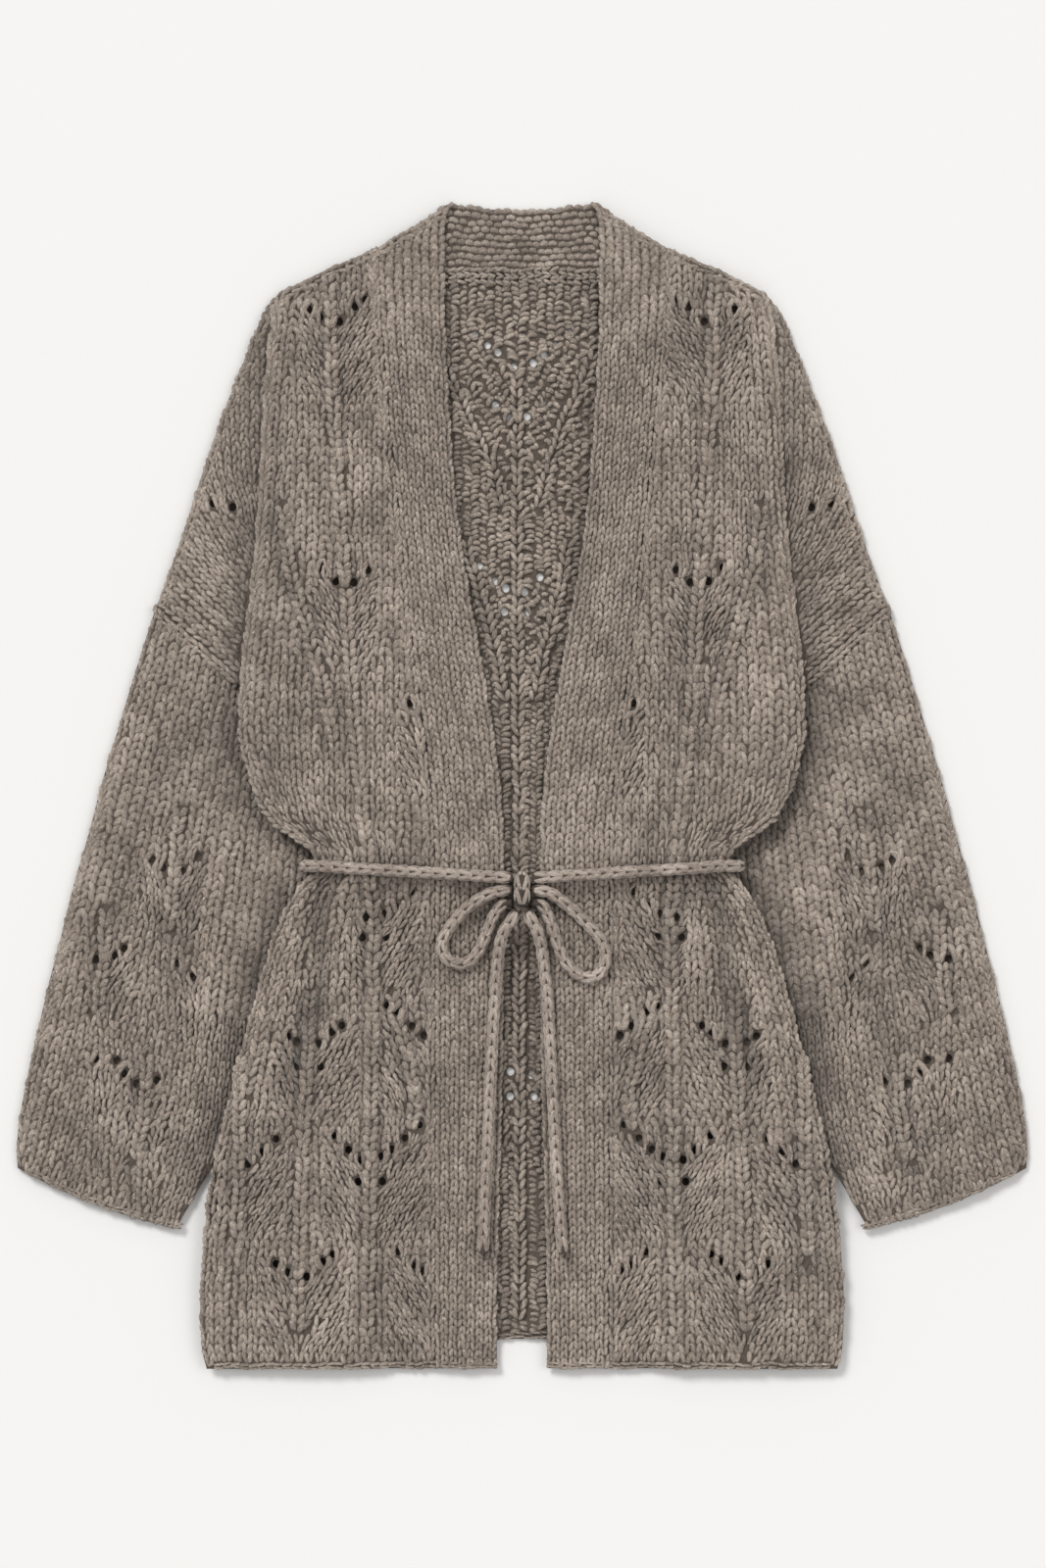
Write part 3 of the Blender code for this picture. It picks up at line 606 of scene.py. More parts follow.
class Term:
    """A shader socket that takes part in Python expressions."""

    def __init__(self, tree: bpy.types.NodeTree, socket: bpy.types.NodeSocket) -> None:
        """Wrap an output socket of the tree."""
        self.tree = tree
        self.socket = socket

    def made(self, operation: str, *others) -> "Term":
        """Add a Math node.

        Args:
            operation: The Math node's operation.
            others: Terms or numbers for its inputs; this term is put where None stands.

        Returns:
            The node's result.
        """
        node = self.tree.nodes.new("ShaderNodeMath")
        node.operation = operation
        for slot, value in zip(node.inputs, others):
            value = self if value is None else value
            if isinstance(value, Term):
                self.tree.links.new(value.socket, slot)
            else:
                slot.default_value = value
        return Term(self.tree, node.outputs[0])

    def __add__(self, other) -> "Term":
        """Sum."""
        return self.made("ADD", None, other)

    __radd__ = __add__

    def __sub__(self, other) -> "Term":
        """Difference."""
        return self.made("SUBTRACT", None, other)

    def __rsub__(self, other) -> "Term":
        """Difference from a number."""
        return self.made("SUBTRACT", other, None)

    def __mul__(self, other) -> "Term":
        """Product."""
        return self.made("MULTIPLY", None, other)

    __rmul__ = __mul__

    def __truediv__(self, other) -> "Term":
        """Quotient."""
        return self.made("DIVIDE", None, other)

    def sine(self) -> "Term":
        """Sine."""
        return self.made("SINE", None)

    def fraction(self) -> "Term":
        """Part after the point."""
        return self.made("FRACT", None)

    def absolute(self) -> "Term":
        """Size without its sign."""
        return self.made("ABSOLUTE", None)

    def power(self, exponent: float) -> "Term":
        """Power."""
        return self.made("POWER", None, exponent)

    def step(self, low: float, high: float) -> "Term":
        """Straight ramp from 0 at low to 1 at high, held inside them.

        Args:
            low: Value that gives 0.
            high: Value that gives 1.

        Returns:
            The ramp.
        """
        node = self.tree.nodes.new("ShaderNodeMapRange")
        node.clamp = True
        self.tree.links.new(self.socket, node.inputs["Value"])
        node.inputs["From Min"].default_value = low
        node.inputs["From Max"].default_value = high
        return Term(self.tree, node.outputs["Result"])


class Shader:
    """A material with one Principled surface, filled in by a finish."""

    def __init__(self, name: str, roughness: float, sheen: float = 0.0) -> None:
        """Make the material.

        Args:
            name: The material's name.
            roughness: Its roughness, the same all over.
            sheen: How much fuzz catches the light at its edges.
        """
        self.material = bpy.data.materials.new(name)
        self.material.use_nodes = True
        self.tree = self.material.node_tree
        self.surface = self.tree.nodes["Principled BSDF"]
        self.surface.inputs["Roughness"].default_value = roughness
        self.surface.inputs["Metallic"].default_value = 0.0
        self.surface.inputs["Specular IOR Level"].default_value = 0.2
        self.surface.inputs["Sheen Weight"].default_value = sheen
        self.surface.inputs["Sheen Roughness"].default_value = 0.6

    def node(self, kind: str, settings: dict, values: dict) -> bpy.types.Node:
        """Add a node.

        Args:
            kind: The node's type.
            settings: Its own settings, set first.
            values: Numbers, colours or terms for its inputs, by name or place.

        Returns:
            The node.
        """
        made = self.tree.nodes.new(kind)
        for key, value in settings.items():
            setattr(made, key, value)
        for key, value in values.items():
            if isinstance(value, Term):
                self.tree.links.new(value.socket, made.inputs[key])
            else:
                made.inputs[key].default_value = value
        return made

    def term(self, node: bpy.types.Node, output: str) -> Term:
        """An output of a node as a term."""
        return Term(self.tree, node.outputs[output])

    def attribute(self, name: str) -> Term:
        """A number stored on the piece."""
        return self.term(self.node("ShaderNodeAttribute", {"attribute_name": name}, {}), "Fac")

    def place(self, turn: float = 0.0) -> Term:
        """The piece's own coordinates, turned about Z."""
        coordinates = self.node("ShaderNodeTexCoord", {}, {})
        mapping = self.node("ShaderNodeMapping", {}, {
            "Vector": self.term(coordinates, "Object"), "Rotation": (0.0, 0.0, turn)})
        return self.term(mapping, "Vector")

    def noise(self, vector: Term, scale: float, detail: float = 2.0, roughness: float = 0.5) -> Term:
        """Cloudy noise from 0 to 1.

        Args:
            vector: Where the noise is read.
            scale: Its scale, for each metre.
            detail: Number of finer layers.
            roughness: Strength of the finer layers.

        Returns:
            The noise.
        """
        made = self.node("ShaderNodeTexNoise", {}, {
            "Vector": vector, "Scale": scale, "Detail": detail, "Roughness": roughness})
        return self.term(made, "Fac")

    def blend(self, share: Term, first, second) -> Term:
        """Mix two colours.

        Args:
            share: How much of the second colour.
            first: Colour or term at 0.
            second: Colour or term at 1.

        Returns:
            The colour.
        """
        made = self.node("ShaderNodeMix", {"data_type": "RGBA"}, {0: share, 6: first, 7: second})
        return Term(self.tree, made.outputs[2])

    def shade(self, colour: Term, level: Term) -> Term:
        """Darken or lighten a colour by a level."""
        grey = self.node("ShaderNodeCombineColor", {}, {"Red": level, "Green": level, "Blue": level})
        made = self.node("ShaderNodeMix", {"data_type": "RGBA", "blend_type": "MULTIPLY"}, {
            0: 1.0, 6: colour, 7: self.term(grey, "Color")})
        return Term(self.tree, made.outputs[2])

    def finish(self, colour: Term, height: Term, depth: float, strength: float) -> bpy.types.Material:
        """Wire colour and bump to the surface.

        Args:
            colour: The base colour.
            height: The bump's height from 0 to 1.
            depth: Size of the bump in metres.
            strength: Its strength.

        Returns:
            The material.
        """
        self.tree.links.new(colour.socket, self.surface.inputs["Base Color"])
        bump = self.node("ShaderNodeBump", {}, {
            "Height": height, "Distance": depth, "Strength": strength})
        self.tree.links.new(bump.outputs["Normal"], self.surface.inputs["Normal"])
        return self.material


@dataclass(frozen=True)
class YarnFinish:
    """Plied heather yarn: its colours from deep to light, and the twist of its plies."""

    name: str
    deep: tuple
    main: tuple
    light: tuple
    fleck: tuple
    ply: float = 1.35
    roughness: float = 0.94

    def build(self) -> bpy.types.Material:
        """Make the yarn's material, which reads the stitch's tone, its rim for painted shade at the
        leg's edges, its painted shade and light, and its own map.

        Returns:
            The material.
        """
        shader = Shader(self.name, self.roughness, sheen=0.25)
        tone = shader.attribute("tone")
        rim = shader.attribute("rim")
        shade = shader.attribute("shade")
        run = shader.node("ShaderNodeUVMap", {"uv_map": "stitch"}, {})
        parts = shader.node("ShaderNodeSeparateXYZ", {}, {"Vector": shader.term(run, "UV")})
        along = shader.term(parts, "X")
        across = shader.term(parts, "Y")
        where = shader.place()
        cloud = shader.noise(where, 38.0, 3.0)
        fibre = shader.noise(where, 1900.0, 3.0, 0.65)
        wander = shader.noise(where, 420.0, 2.0)
        lengthwise = shader.node("ShaderNodeCombineXYZ", {}, {
            "X": along * 0.5, "Y": across * 2.3, "Z": tone * 40.0})
        streak = shader.noise(shader.term(lengthwise, "Vector"), 1.0, 3.0, 0.6)
        twist = (along * 3.2 / self.ply + across * 2.2 + wander * 3.0).sine() * 0.5 + 0.5
        heather = (tone - 0.5) * 0.42 + (streak - 0.5) * 2.1 + (cloud - 0.5) * 1.1 + 0.5
        colour = shader.blend(heather.step(0.0, 0.5), self.deep, self.main)
        colour = shader.blend(heather.step(0.5, 1.05), colour, self.light)
        fleck = shader.noise(where, 620.0, 1.0).step(0.6, 0.7) * streak.step(0.3, 0.6) * 0.6
        colour = shader.blend(fleck, colour, self.fleck)
        # Painted shade: darker towards the edges of each leg and in stripes between its plies, times the
        # fibres' own uneven tone
        painted_shade_and_fibre = (1.0 - rim.power(2.0) * 0.3) * (0.9 + twist * 0.1) * (0.86 + fibre * 0.28)
        # The stitch's painted shade and light from its shade attribute darken or lighten the colour
        # further
        colour = shader.shade(colour, painted_shade_and_fibre * (1.0 + shade))
        height = twist * 0.35 + fibre * 0.6 + streak * 0.9
        return shader.finish(colour, height, 0.0009, 0.75)


@dataclass(frozen=True)
class GroundFinish:
    """Cloth behind the stitches: its top painted deep as the shade between them, with a knitted pattern
    and painted shade in its grooves on the underside.
    """

    name: str
    # deep is painted shade: the colour of the top face, which shows only between the stitches
    deep: tuple
    main: tuple
    light: tuple
    turn: float = 0.0
    roughness: float = 0.96

    def build(self) -> bpy.types.Material:
        """Make the ground's material, which reads the piece's own coordinates.

        Returns:
            The material.
        """
        shader = Shader(self.name, self.roughness, sheen=0.1)
        under = shader.attribute("under")
        where = shader.place(self.turn)
        parts = shader.node("ShaderNodeSeparateXYZ", {}, {"Vector": where})
        x = shader.term(parts, "X") / (WALE * MILLIMETRE)
        y = shader.term(parts, "Y") / (COURSE * MILLIMETRE)
        wander = shader.noise(where, 90.0, 2.0)
        x = x + wander * 0.5
        side = (x.fraction() - 0.5).absolute() * 2.0
        row = (y + side * 0.9 + wander * 0.4).fraction()
        leg = (1.0 - (row - 0.5).absolute() * 2.0).step(0.08, 0.7)
        rib = (1.0 - (side - 0.5).absolute() * 2.0).step(0.0, 0.55)
        relief = leg * rib
        fibre = shader.noise(where, 1500.0, 3.0, 0.6)
        cloud = shader.noise(where, 45.0, 2.0)
        face = shader.blend((cloud * 0.7 + fibre * 0.5 - 0.1).step(0.0, 1.0), self.main, self.light)
        # Painted shade in the grooves between the underside's knitted legs
        face = shader.shade(face, 0.45 + relief * 0.6)
        # The top face takes the deep colour as painted shade, the underside its knitted face
        colour = shader.blend(under, self.deep, face)
        height = relief * 0.8 + fibre * 0.25
        return shader.finish(colour, height, 0.0012, 0.8)


@dataclass(frozen=True)
class FloorFinish:
    """Plain pale surface that the garment lies on."""

    name: str = "pale_floor"
    tint: tuple = (0.86, 0.855, 0.845, 1.0)

    def build(self) -> bpy.types.Material:
        """Make the floor's material.

        Returns:
            The material.
        """
        shader = Shader(self.name, 0.9)
        where = shader.place()
        cloud = shader.noise(where, 3.0, 2.0)
        grain = shader.noise(where, 700.0, 2.0)
        shade = shader.shade(
            shader.blend(cloud * 0.25, self.tint, tuple(0.985 * c for c in self.tint[:3]) + (1.0,)),
            0.992 + grain * 0.016)
        return shader.finish(shade, grain, 0.0002, 0.2)


# Meshes


def mesh_piece(name: str, points: np.ndarray, faces: np.ndarray, material: bpy.types.Material,
               flip: bool) -> bpy.types.Object:
    """Make a smooth-shaded piece from points in millimetres and four-sided faces.

    Args:
        name: The piece's name.
        points: Its points, one a row.
        faces: Its faces as four indices a row.
        material: Its material.
        flip: Whether the faces are turned over, as on a mirrored panel.

    Returns:
        The piece.
    """
    if flip:
        faces = faces[:, ::-1]
    mesh = bpy.data.meshes.new(name)
    mesh.vertices.add(len(points))
    mesh.vertices.foreach_set("co", (points * MILLIMETRE).astype(np.float32).ravel())
    mesh.loops.add(faces.size)
    mesh.loops.foreach_set("vertex_index", faces.astype(np.int32).ravel())
    mesh.polygons.add(len(faces))
    mesh.polygons.foreach_set("loop_start", np.arange(0, faces.size, 4, dtype=np.int32))
    mesh.update(calc_edges=True)
    mesh.validate()
    mesh.shade_smooth()
    mesh.materials.append(material)
    piece = bpy.data.objects.new(name, mesh)
    bpy.context.collection.objects.link(piece)
    return piece


def store(piece: bpy.types.Object, name: str, values: np.ndarray) -> None:
    """Store one number for each point of a piece."""
    made = piece.data.attributes.new(name, "FLOAT", "POINT")
    made.data.foreach_set("value", values.astype(np.float32).ravel())


def wall_piece(name: str, high: np.ndarray, low: np.ndarray, material: bpy.types.Material,
               flip: bool) -> bpy.types.Object:
    """Closed wall between two grids of points that have the same rows and columns.

    Args:
        name: The piece's name.
        high: Upper points, rows by columns by three.
        low: Lower points, in the same order.
        material: Its material.
        flip: Whether it is mirrored.

    Returns:
        The piece, with "under" at 1 on its lower face.
    """
    points, faces = wall_arrays(high, low)
    piece = mesh_piece(name, points, faces, material, flip)
    half = high.shape[0] * high.shape[1]
    store(piece, "under", np.concatenate([np.zeros(half), np.ones(half)]))
    return piece


def wall_arrays(high: np.ndarray, low: np.ndarray) -> tuple:
    """Points and outward faces of a closed wall between two grids.

    Args:
        high: Upper points, rows by columns by three.
        low: Lower points, in the same order.

    Returns:
        The points and the faces.
    """
    rows, columns = high.shape[:2]
    top = np.arange(rows * columns).reshape(rows, columns)
    under = top + rows * columns
    faces = [
        np.stack([top[:-1, :-1], top[1:, :-1], top[1:, 1:], top[:-1, 1:]], -1).reshape(-1, 4),
        np.stack([under[:-1, :-1], under[:-1, 1:], under[1:, 1:], under[1:, :-1]], -1).reshape(-1, 4),
        np.stack([top[0, :-1], top[0, 1:], under[0, 1:], under[0, :-1]], -1),
        np.stack([top[-1, :-1], under[-1, :-1], under[-1, 1:], top[-1, 1:]], -1),
        np.stack([top[:-1, 0], under[:-1, 0], under[1:, 0], top[1:, 0]], -1),
        np.stack([top[:-1, -1], top[1:, -1], under[1:, -1], under[:-1, -1]], -1),
    ]
    return np.concatenate([high.reshape(-1, 3), low.reshape(-1, 3)]), np.concatenate(faces)


def eyelets(motifs: tuple) -> np.ndarray:
    """Centres and radii of the eyelets of each leaf: two arms of a V and lower pairs.

    Args:
        motifs: Rows of a motif table.

    Returns:
        Rows of distance from the centre line, place along, and radius.
    """
    found = []
    for number, (across, foot, inward, outward, pairs) in enumerate(motifs):
        for direction, count in ((-1, inward), (1, outward)):
            for step in range(count):
                wander = math.sin(5.0 * number + 2.3 * step + direction)
                x = across + direction * (ARM_START + ARM_ACROSS * step + 1.2 * wander)
                y = foot + ARM_UP * step + 1.8 * wander
                found.append((x, y, 2.9 - 0.15 * step))
            for _ in range(pairs):
                found.append((across + direction * PAIR_ACROSS, foot - PAIR_DOWN, 2.8))
    return np.array(found)


def cut_eyelets(piece: bpy.types.Object, centres: np.ndarray, side: int,
                foot: float = -EYELET_REACH) -> None:
    """Cut upright holes through a wall.

    Args:
        piece: The wall.
        centres: Rows of distance from the centre line, place along, and radius.
        side: -1 or 1, the half of the garment.
        foot: Height at which the holes end below.
    """
    points, faces = [], []
    count = EYELET_SIDES
    angles = math.tau * np.arange(count) / count
    for x, y, radius in centres:
        ring_x = side * x + radius * 0.94 * np.cos(angles)
        ring_y = y + 1.08 * radius * np.sin(angles)
        start = len(points)
        for level in (foot, EYELET_REACH):
            points += [(px, py, level) for px, py in zip(ring_x, ring_y)]
        faces.append([start + count - 1 - i for i in range(count)])
        faces.append([start + count + i for i in range(count)])
        for i in range(count):
            after = (i + 1) % count
            faces.append([start + i, start + after, start + count + after, start + count + i])
    mesh = bpy.data.meshes.new(piece.name + "_cutter")
    mesh.from_pydata([tuple(c * MILLIMETRE for c in point) for point in points], [], faces)
    mesh.materials.append(piece.data.materials[0])
    cutter = bpy.data.objects.new(mesh.name, mesh)
    bpy.context.collection.objects.link(cutter)
    cut = piece.modifiers.new("eyelets", "BOOLEAN")
    cut.operation = "DIFFERENCE"
    cut.solver = "EXACT"
    cut.object = cutter
    select_only(piece)
    bpy.ops.object.modifier_apply(modifier=cut.name)
    bpy.data.objects.remove(cutter)


def deselect_all() -> None:
    """Leave no piece selected."""
    for other in bpy.context.selected_objects:
        other.select_set(False)


def select_only(piece: bpy.types.Object) -> None:
    """Make a piece the only one selected, and active."""
    deselect_all()
    piece.select_set(True)
    bpy.context.view_layer.objects.active = piece


def finished(piece: bpy.types.Object, nodes: tuple = ()) -> bpy.types.Object:
    """Let a piece ride on the garment and stand for its nodes, and log its triangles.

    Args:
        piece: The piece.
        nodes: CAD nodes that it stands for.

    Returns:
        The piece.
    """
    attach(piece, BODY)
    if nodes:
        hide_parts(*nodes)
    triangles = 0
    if piece.type == "MESH":
        triangles = sum(len(face.vertices) - 2 for face in piece.data.polygons)
    LOG.info("%s: %d triangles", piece.name, triangles)
    return piece


# Stitches


@dataclass
class Stitches:
    """Places of stitches on one panel, with their turns, sizes, lifts and ways of tilting."""

    across: np.ndarray
    along: np.ndarray
    turn: Numbers
    pitch: Numbers
    course: Numbers
    lift: Numbers
    way: Numbers = 1.0

    def __post_init__(self) -> None:
        """Let a single number hold for all stitches."""
        for key in ("turn", "pitch", "course", "lift", "way"):
            if np.ndim(getattr(self, key)) == 0:
                setattr(self, key, np.full(len(self.across), float(getattr(self, key))))

    def kept(self, mask: np.ndarray) -> "Stitches":
        """The stitches that a mask keeps."""
        return Stitches(*(getattr(self, key)[mask] for key in self.__dataclass_fields__))

    @staticmethod
    def joined(parts: list) -> "Stitches":
        """Several sets of stitches as one."""
        keys = Stitches.__dataclass_fields__
        return Stitches(*(np.concatenate([getattr(part, key) for part in parts]) for key in keys))


@dataclass
class WaleField:
    """Wales that run down a panel, lean with its lace, and come and go with its width."""

    origin: tuple
    turn: float
    reach: tuple
    length: float
    lean: Callable
    keep: Callable
    relax: float = 0.08
    seed: int = 0
    pitch: float = WALE
    course: float = COURSE
    narrowest: float = 0.6
    widest: float = 1.45
    split_at: float = 1.42
    calm_slope: float = 0.08

    def run(self) -> Stitches:
        """Follow the wales course by course.

        Returns:
            The stitches inside the panel, with the parity of their wales as their lift.
        """
        random = np.random.default_rng(self.seed)
        side_way = np.array([math.cos(self.turn), math.sin(self.turn)])
        down_way = np.array([math.sin(self.turn), -math.cos(self.turn)])
        places = np.arange(self.reach[0], self.reach[1], self.pitch)
        found = []
        for number in range(int(self.length / self.course)):
            down = number * self.course
            x = self.origin[0] + places * side_way[0] + down * down_way[0]
            y = self.origin[1] + places * side_way[1] + down * down_way[1]
            angle = self.lean(x, y)
            slope = np.tan(angle - self.turn)
            gaps = np.diff(places)
            width = np.concatenate([[gaps[0]], (gaps[1:] + gaps[:-1]) / 2.0, [gaps[-1]]])
            width = np.clip(width, self.pitch * self.narrowest, self.pitch * self.widest)
            width = width * np.cos(angle - self.turn)
            inside = self.keep(x, y)
            if inside.any():
                parity = (np.arange(len(places)) % 2).astype(float)
                course = np.full(len(x), self.course)
                found.append(np.stack([x, y, angle, width, course, parity])[:, inside])
            places = places + slope * self.course
            calm = bell(slope[1:-1], self.calm_slope) * self.relax
            places[1:-1] += calm * ((places[2:] + places[:-2]) / 2.0 - places[1:-1])
            places = self.renewed(places, random)
        return Stitches(*np.concatenate(found, axis=1))

    def renewed(self, places: np.ndarray, random: np.random.Generator) -> np.ndarray:
        """Drop a wale where two meet and start one where they part.

        Args:
            places: The wales' places across.
            random: Source of small variation.

        Returns:
            The new places.
        """
        kept = [places[0]]
        for place_now in places[1:]:
            gap = place_now - kept[-1]
            if gap < self.pitch * self.narrowest:
                continue
            if gap > self.pitch * self.split_at:
                kept.append(kept[-1] + gap * random.uniform(0.47, 0.53))
            kept.append(place_now)
        return np.array(kept)


def edge_wale(x: np.ndarray, y: np.ndarray, inset: float, width: float = EDGE_WALE,
              lift: float = 0.0) -> Stitches:
    """One wale along a line, such as a fold or a seam.

    Args:
        x: Places of the line across, from the top down.
        y: Places along.
        inset: Distance of the wale from the line, towards the centre.
        width: Width of the wale.
        lift: How far it stands up.

    Returns:
        Its stitches.
    """
    walked = distances(x, y)
    turn = np.arctan2(np.gradient(x, walked), -np.gradient(y, walked))
    at = np.arange(1.5, walked[-1] - 0.5, COURSE)
    turn = np.interp(at, walked, turn)
    across = np.interp(at, walked, x) - inset * np.cos(turn)
    along = np.interp(at, walked, y) - inset * np.sin(turn)
    return Stitches(across, along, turn, width, COURSE, lift)


def spine_lift(motifs: tuple, across: np.ndarray, along: np.ndarray) -> np.ndarray:
    """Relief of the leaves: shallow grooves beside the spines, and rounded blades.

    Args:
        motifs: Rows of a motif table.
        across: Places of the stitches across.
        along: Places along.

    Returns:
        How far the stitches stand up.
    """
    total = np.zeros(len(across))
    for x, foot, inward, outward, _ in motifs:
        off = np.abs(across - x)
        zone = ramp(foot - 98.0, foot - 70.0, along) * ramp(foot + 34.0, foot + 12.0, along)
        if inward * outward:
            total -= 0.5 * zone * bell(off - 0.86 * WALE, 0.33 * WALE)
        half = ARM_ACROSS * max(inward, outward) + 4.0
        arm = foot + 0.8 * off
        blade = ramp(foot - 66.0, foot - 40.0, along) * ramp(arm, arm - 12.0, along)
        total += 1.5 * blade * bell(off - 0.5 * half, 0.34 * half)
    return np.maximum(total, LOWEST_LIFT)


def fold_shade(height: np.ndarray) -> np.ndarray:
    """Soft shading of creases: darker in a trough, a little lighter on a ridge."""
    return np.clip(0.085 * height, -0.34, 0.1)


def contact_shade(off: np.ndarray, depth: float, reach: float = 16.0) -> np.ndarray:
    """Darker cloth where another layer lies over it.

    Args:
        off: Distances from the other layer's edge.
        depth: How much darker it is right at the edge.
        reach: How far the darkening goes.

    Returns:
        The change of the colour's level.
    """
    return -depth * bell(np.maximum(off, 0.0), reach)


def walk(line: tuple) -> tuple:
    """Close points along a line through a few given ones.

    Args:
        line: The given points, each across and along.

    Returns:
        Places of the close points across, and along.
    """
    rows = np.array(line)
    walked = distances(*rows.T)
    at = np.linspace(0.0, walked[-1], 400)
    return tuple(np.interp(at, walked, rows[:, axis]) for axis in (0, 1))


def chains(lines: tuple, lift: float) -> Stitches:
    """Bold chains that stand up from a panel.

    Args:
        lines: Rows of points, each from the top down.
        lift: How far the chains stand up.

    Returns:
        Their stitches.
    """
    ropes = Stitches.joined([edge_wale(*walk(line), 0.0, ROPE_WALE, lift) for line in lines])
    ropes.course[:] = ROPE_COURSE
    return ropes


def groove_shade(lines: tuple, across: np.ndarray, along: np.ndarray) -> np.ndarray:
    """Painted shade in grooves on both sides of chains, and a little painted light along the chains.

    Args:
        lines: Rows of points of the chains.
        across: Places across.
        along: Places along.

    Returns:
        The change of the colour's level.
    """
    nearest = np.full(len(across), 100.0)
    for line in lines:
        x, y = walk(line)
        for number in range(len(x)):
            np.minimum(nearest, np.hypot(across - x[number], along - y[number]), out=nearest)
    return -0.3 * bell(nearest - 6.0, 2.4) + 0.08 * bell(nearest, 3.0)


def beside_chains(stitches: Stitches, lines: tuple) -> Stitches:
    """Leave out the stitches that chains cover.

    Args:
        stitches: The stitches of a panel.
        lines: Rows of points of the chains.

    Returns:
        The stitches that stay.
    """
    stay = np.ones(len(stitches.across), bool)
    for line in lines:
        x, y = walk(line)
        off = np.hypot(stitches.across[:, None] - x, stitches.along[:, None] - y)
        stay &= off.min(1) > 0.38 * ROPE_WALE
    return stitches.kept(stay)


def hem_rib(along: np.ndarray) -> tuple:
    """Share of the fronts' hem rib at places along, and of the crease over it."""
    rib = ramp(FRONT_HEM + RIB_TOP, FRONT_HEM + RIB_FULL, along)
    return rib, bell(along - FRONT_HEM - RIB_CREASE, 3.0)


def lace_lean(motifs: tuple, depth: float = 66.0, slant: float = 0.5) -> Callable:
    """Lean of the wales round the leaves of a motif table.

    Args:
        motifs: Rows of a motif table.
        depth: How far below a V its wales lean.
        slant: The greatest lean, in radians.

    Returns:
        A function of points that gives the lean, towards the side where it is positive.
    """

    def lean(across: np.ndarray, along: np.ndarray) -> np.ndarray:
        """Lean at points of the panel."""
        total = np.zeros(len(across))
        for x, foot, inward, outward, _ in motifs:
            off = across - x
            half = np.where(off < 0.0, 9.5 * inward + 5.0, 9.5 * outward + 5.0)
            arm = foot + 0.8 * (np.abs(off) - 7.0) - 3.0
            zone = ramp(arm + 2.0, arm - 5.0, along) * ramp(foot - depth, foot - depth + 16.0, along)
            zone = zone * ramp(half + 3.0, half - 4.0, np.abs(off)) * ramp(0.4, 4.5, np.abs(off))
            total = total - np.sign(off) * slant * zone
            if inward * outward:
                spine = ramp(foot - 104.0, foot - 84.0, along) * ramp(foot + 44.0, foot + 24.0, along)
                off_wale = off - WALE * np.round(off / WALE)
                total = total - 0.11 * off_wale * spine * (np.abs(off) < 1.5 * WALE) * (1.0 - zone)
        return np.clip(total, -slant, slant)

    return lean


# A leg of a stitch: stations along it with their widths and rises, and its round section
KNIT_STATIONS = np.array([0.0, 0.22, 0.5, 0.78, 1.0])
KNIT_WIDTHS = np.array([0.4, 0.9, 1.0, 0.92, 0.5])
KNIT_RISES = np.array([-0.35, 0.72, 1.0, 0.86, -0.15])
ROUND_ACROSS = np.array([-1.0, -0.7, 0.0, 0.7, 1.0])
ROUND_UP = np.array([0.0, 0.71, 1.0, 0.71, 0.0])
LEG_POINTS = len(KNIT_STATIONS) * len(ROUND_ACROSS)


def leg_faces(count: int) -> np.ndarray:
    """Faces of legs whose points follow one another, station by station."""
    index = np.arange(count * LEG_POINTS).reshape(count, len(KNIT_STATIONS), len(ROUND_ACROSS))
    corners = [index[:, :-1, :-1], index[:, :-1, 1:], index[:, 1:, 1:], index[:, 1:, :-1]]
    return np.stack(corners, -1).reshape(-1, 4)


def half_round(line: np.ndarray, across: np.ndarray, out: np.ndarray, widths: np.ndarray,
               rises: np.ndarray, lift: Numbers = 0.0, sink: float = 0.0) -> np.ndarray:
    """Points of half-round legs along their centre lines.

    Args:
        line: Points of the centre lines, legs by stations by three.
        across: Unit ways across the legs there.
        out: Unit ways out of the cloth there.
        widths: Half widths, legs by stations.
        rises: Heights of their backs; where they are below 0 the whole leg dips.
        lift: How far each leg stands up.
        sink: How far all of them are sunk in the cloth.

    Returns:
        The points, one a row, in the order that leg_faces takes.
    """
    aside = widths[:, :, None, None] * ROUND_ACROSS[None, None, :, None]
    low = (lift + np.minimum(rises, 0.0))[:, :, None, None]
    up = low + np.maximum(rises, 0.0)[:, :, None, None] * ROUND_UP[None, None, :, None] - sink
    made = line[:, :, None, :] + across[:, :, None, :] * aside + out[:, :, None, :] * up
    return made.reshape(-1, 3)


def legs_piece(name: str, points: np.ndarray, yarn: bpy.types.Material, flip: bool, tones: np.ndarray,
               widths: np.ndarray, random: np.random.Generator) -> bpy.types.Object:
    """Make legs one piece, each with a tone and a map in millimetres along and across its yarn.

    Args:
        name: The piece's name.
        points: The legs' points.
        yarn: Their material.
        flip: Whether they are mirrored.
        tones: A tone for each leg, from 0 to 1.
        widths: Half widths of the legs at their stations.
        random: Source of each leg's own start on its map.

    Returns:
        The piece.
    """
    count = len(tones)
    piece = mesh_piece(name, points, leg_faces(count), yarn, flip)
    store(piece, "tone", np.repeat(tones, LEG_POINTS))
    # rim: how near each point is to its leg's edge, which the yarn darkens as painted shade
    store(piece, "rim", np.tile(np.abs(ROUND_ACROSS), count * len(KNIT_STATIONS)))
    start = random.uniform(0.0, 30.0, count)
    across = widths[:, :, None] * ROUND_ACROSS[None, None, :]
    along = start[:, None, None] + 7.0 * KNIT_STATIONS[None, :, None]
    table = np.stack([np.broadcast_to(along, across.shape), across], -1).reshape(-1, 2)
    corners = np.empty(len(piece.data.loops), np.int32)
    piece.data.loops.foreach_get("vertex_index", corners)
    layer = piece.data.uv_layers.new(name="stitch")
    layer.data.foreach_set("uv", table[corners].astype(np.float32).ravel())
    return piece


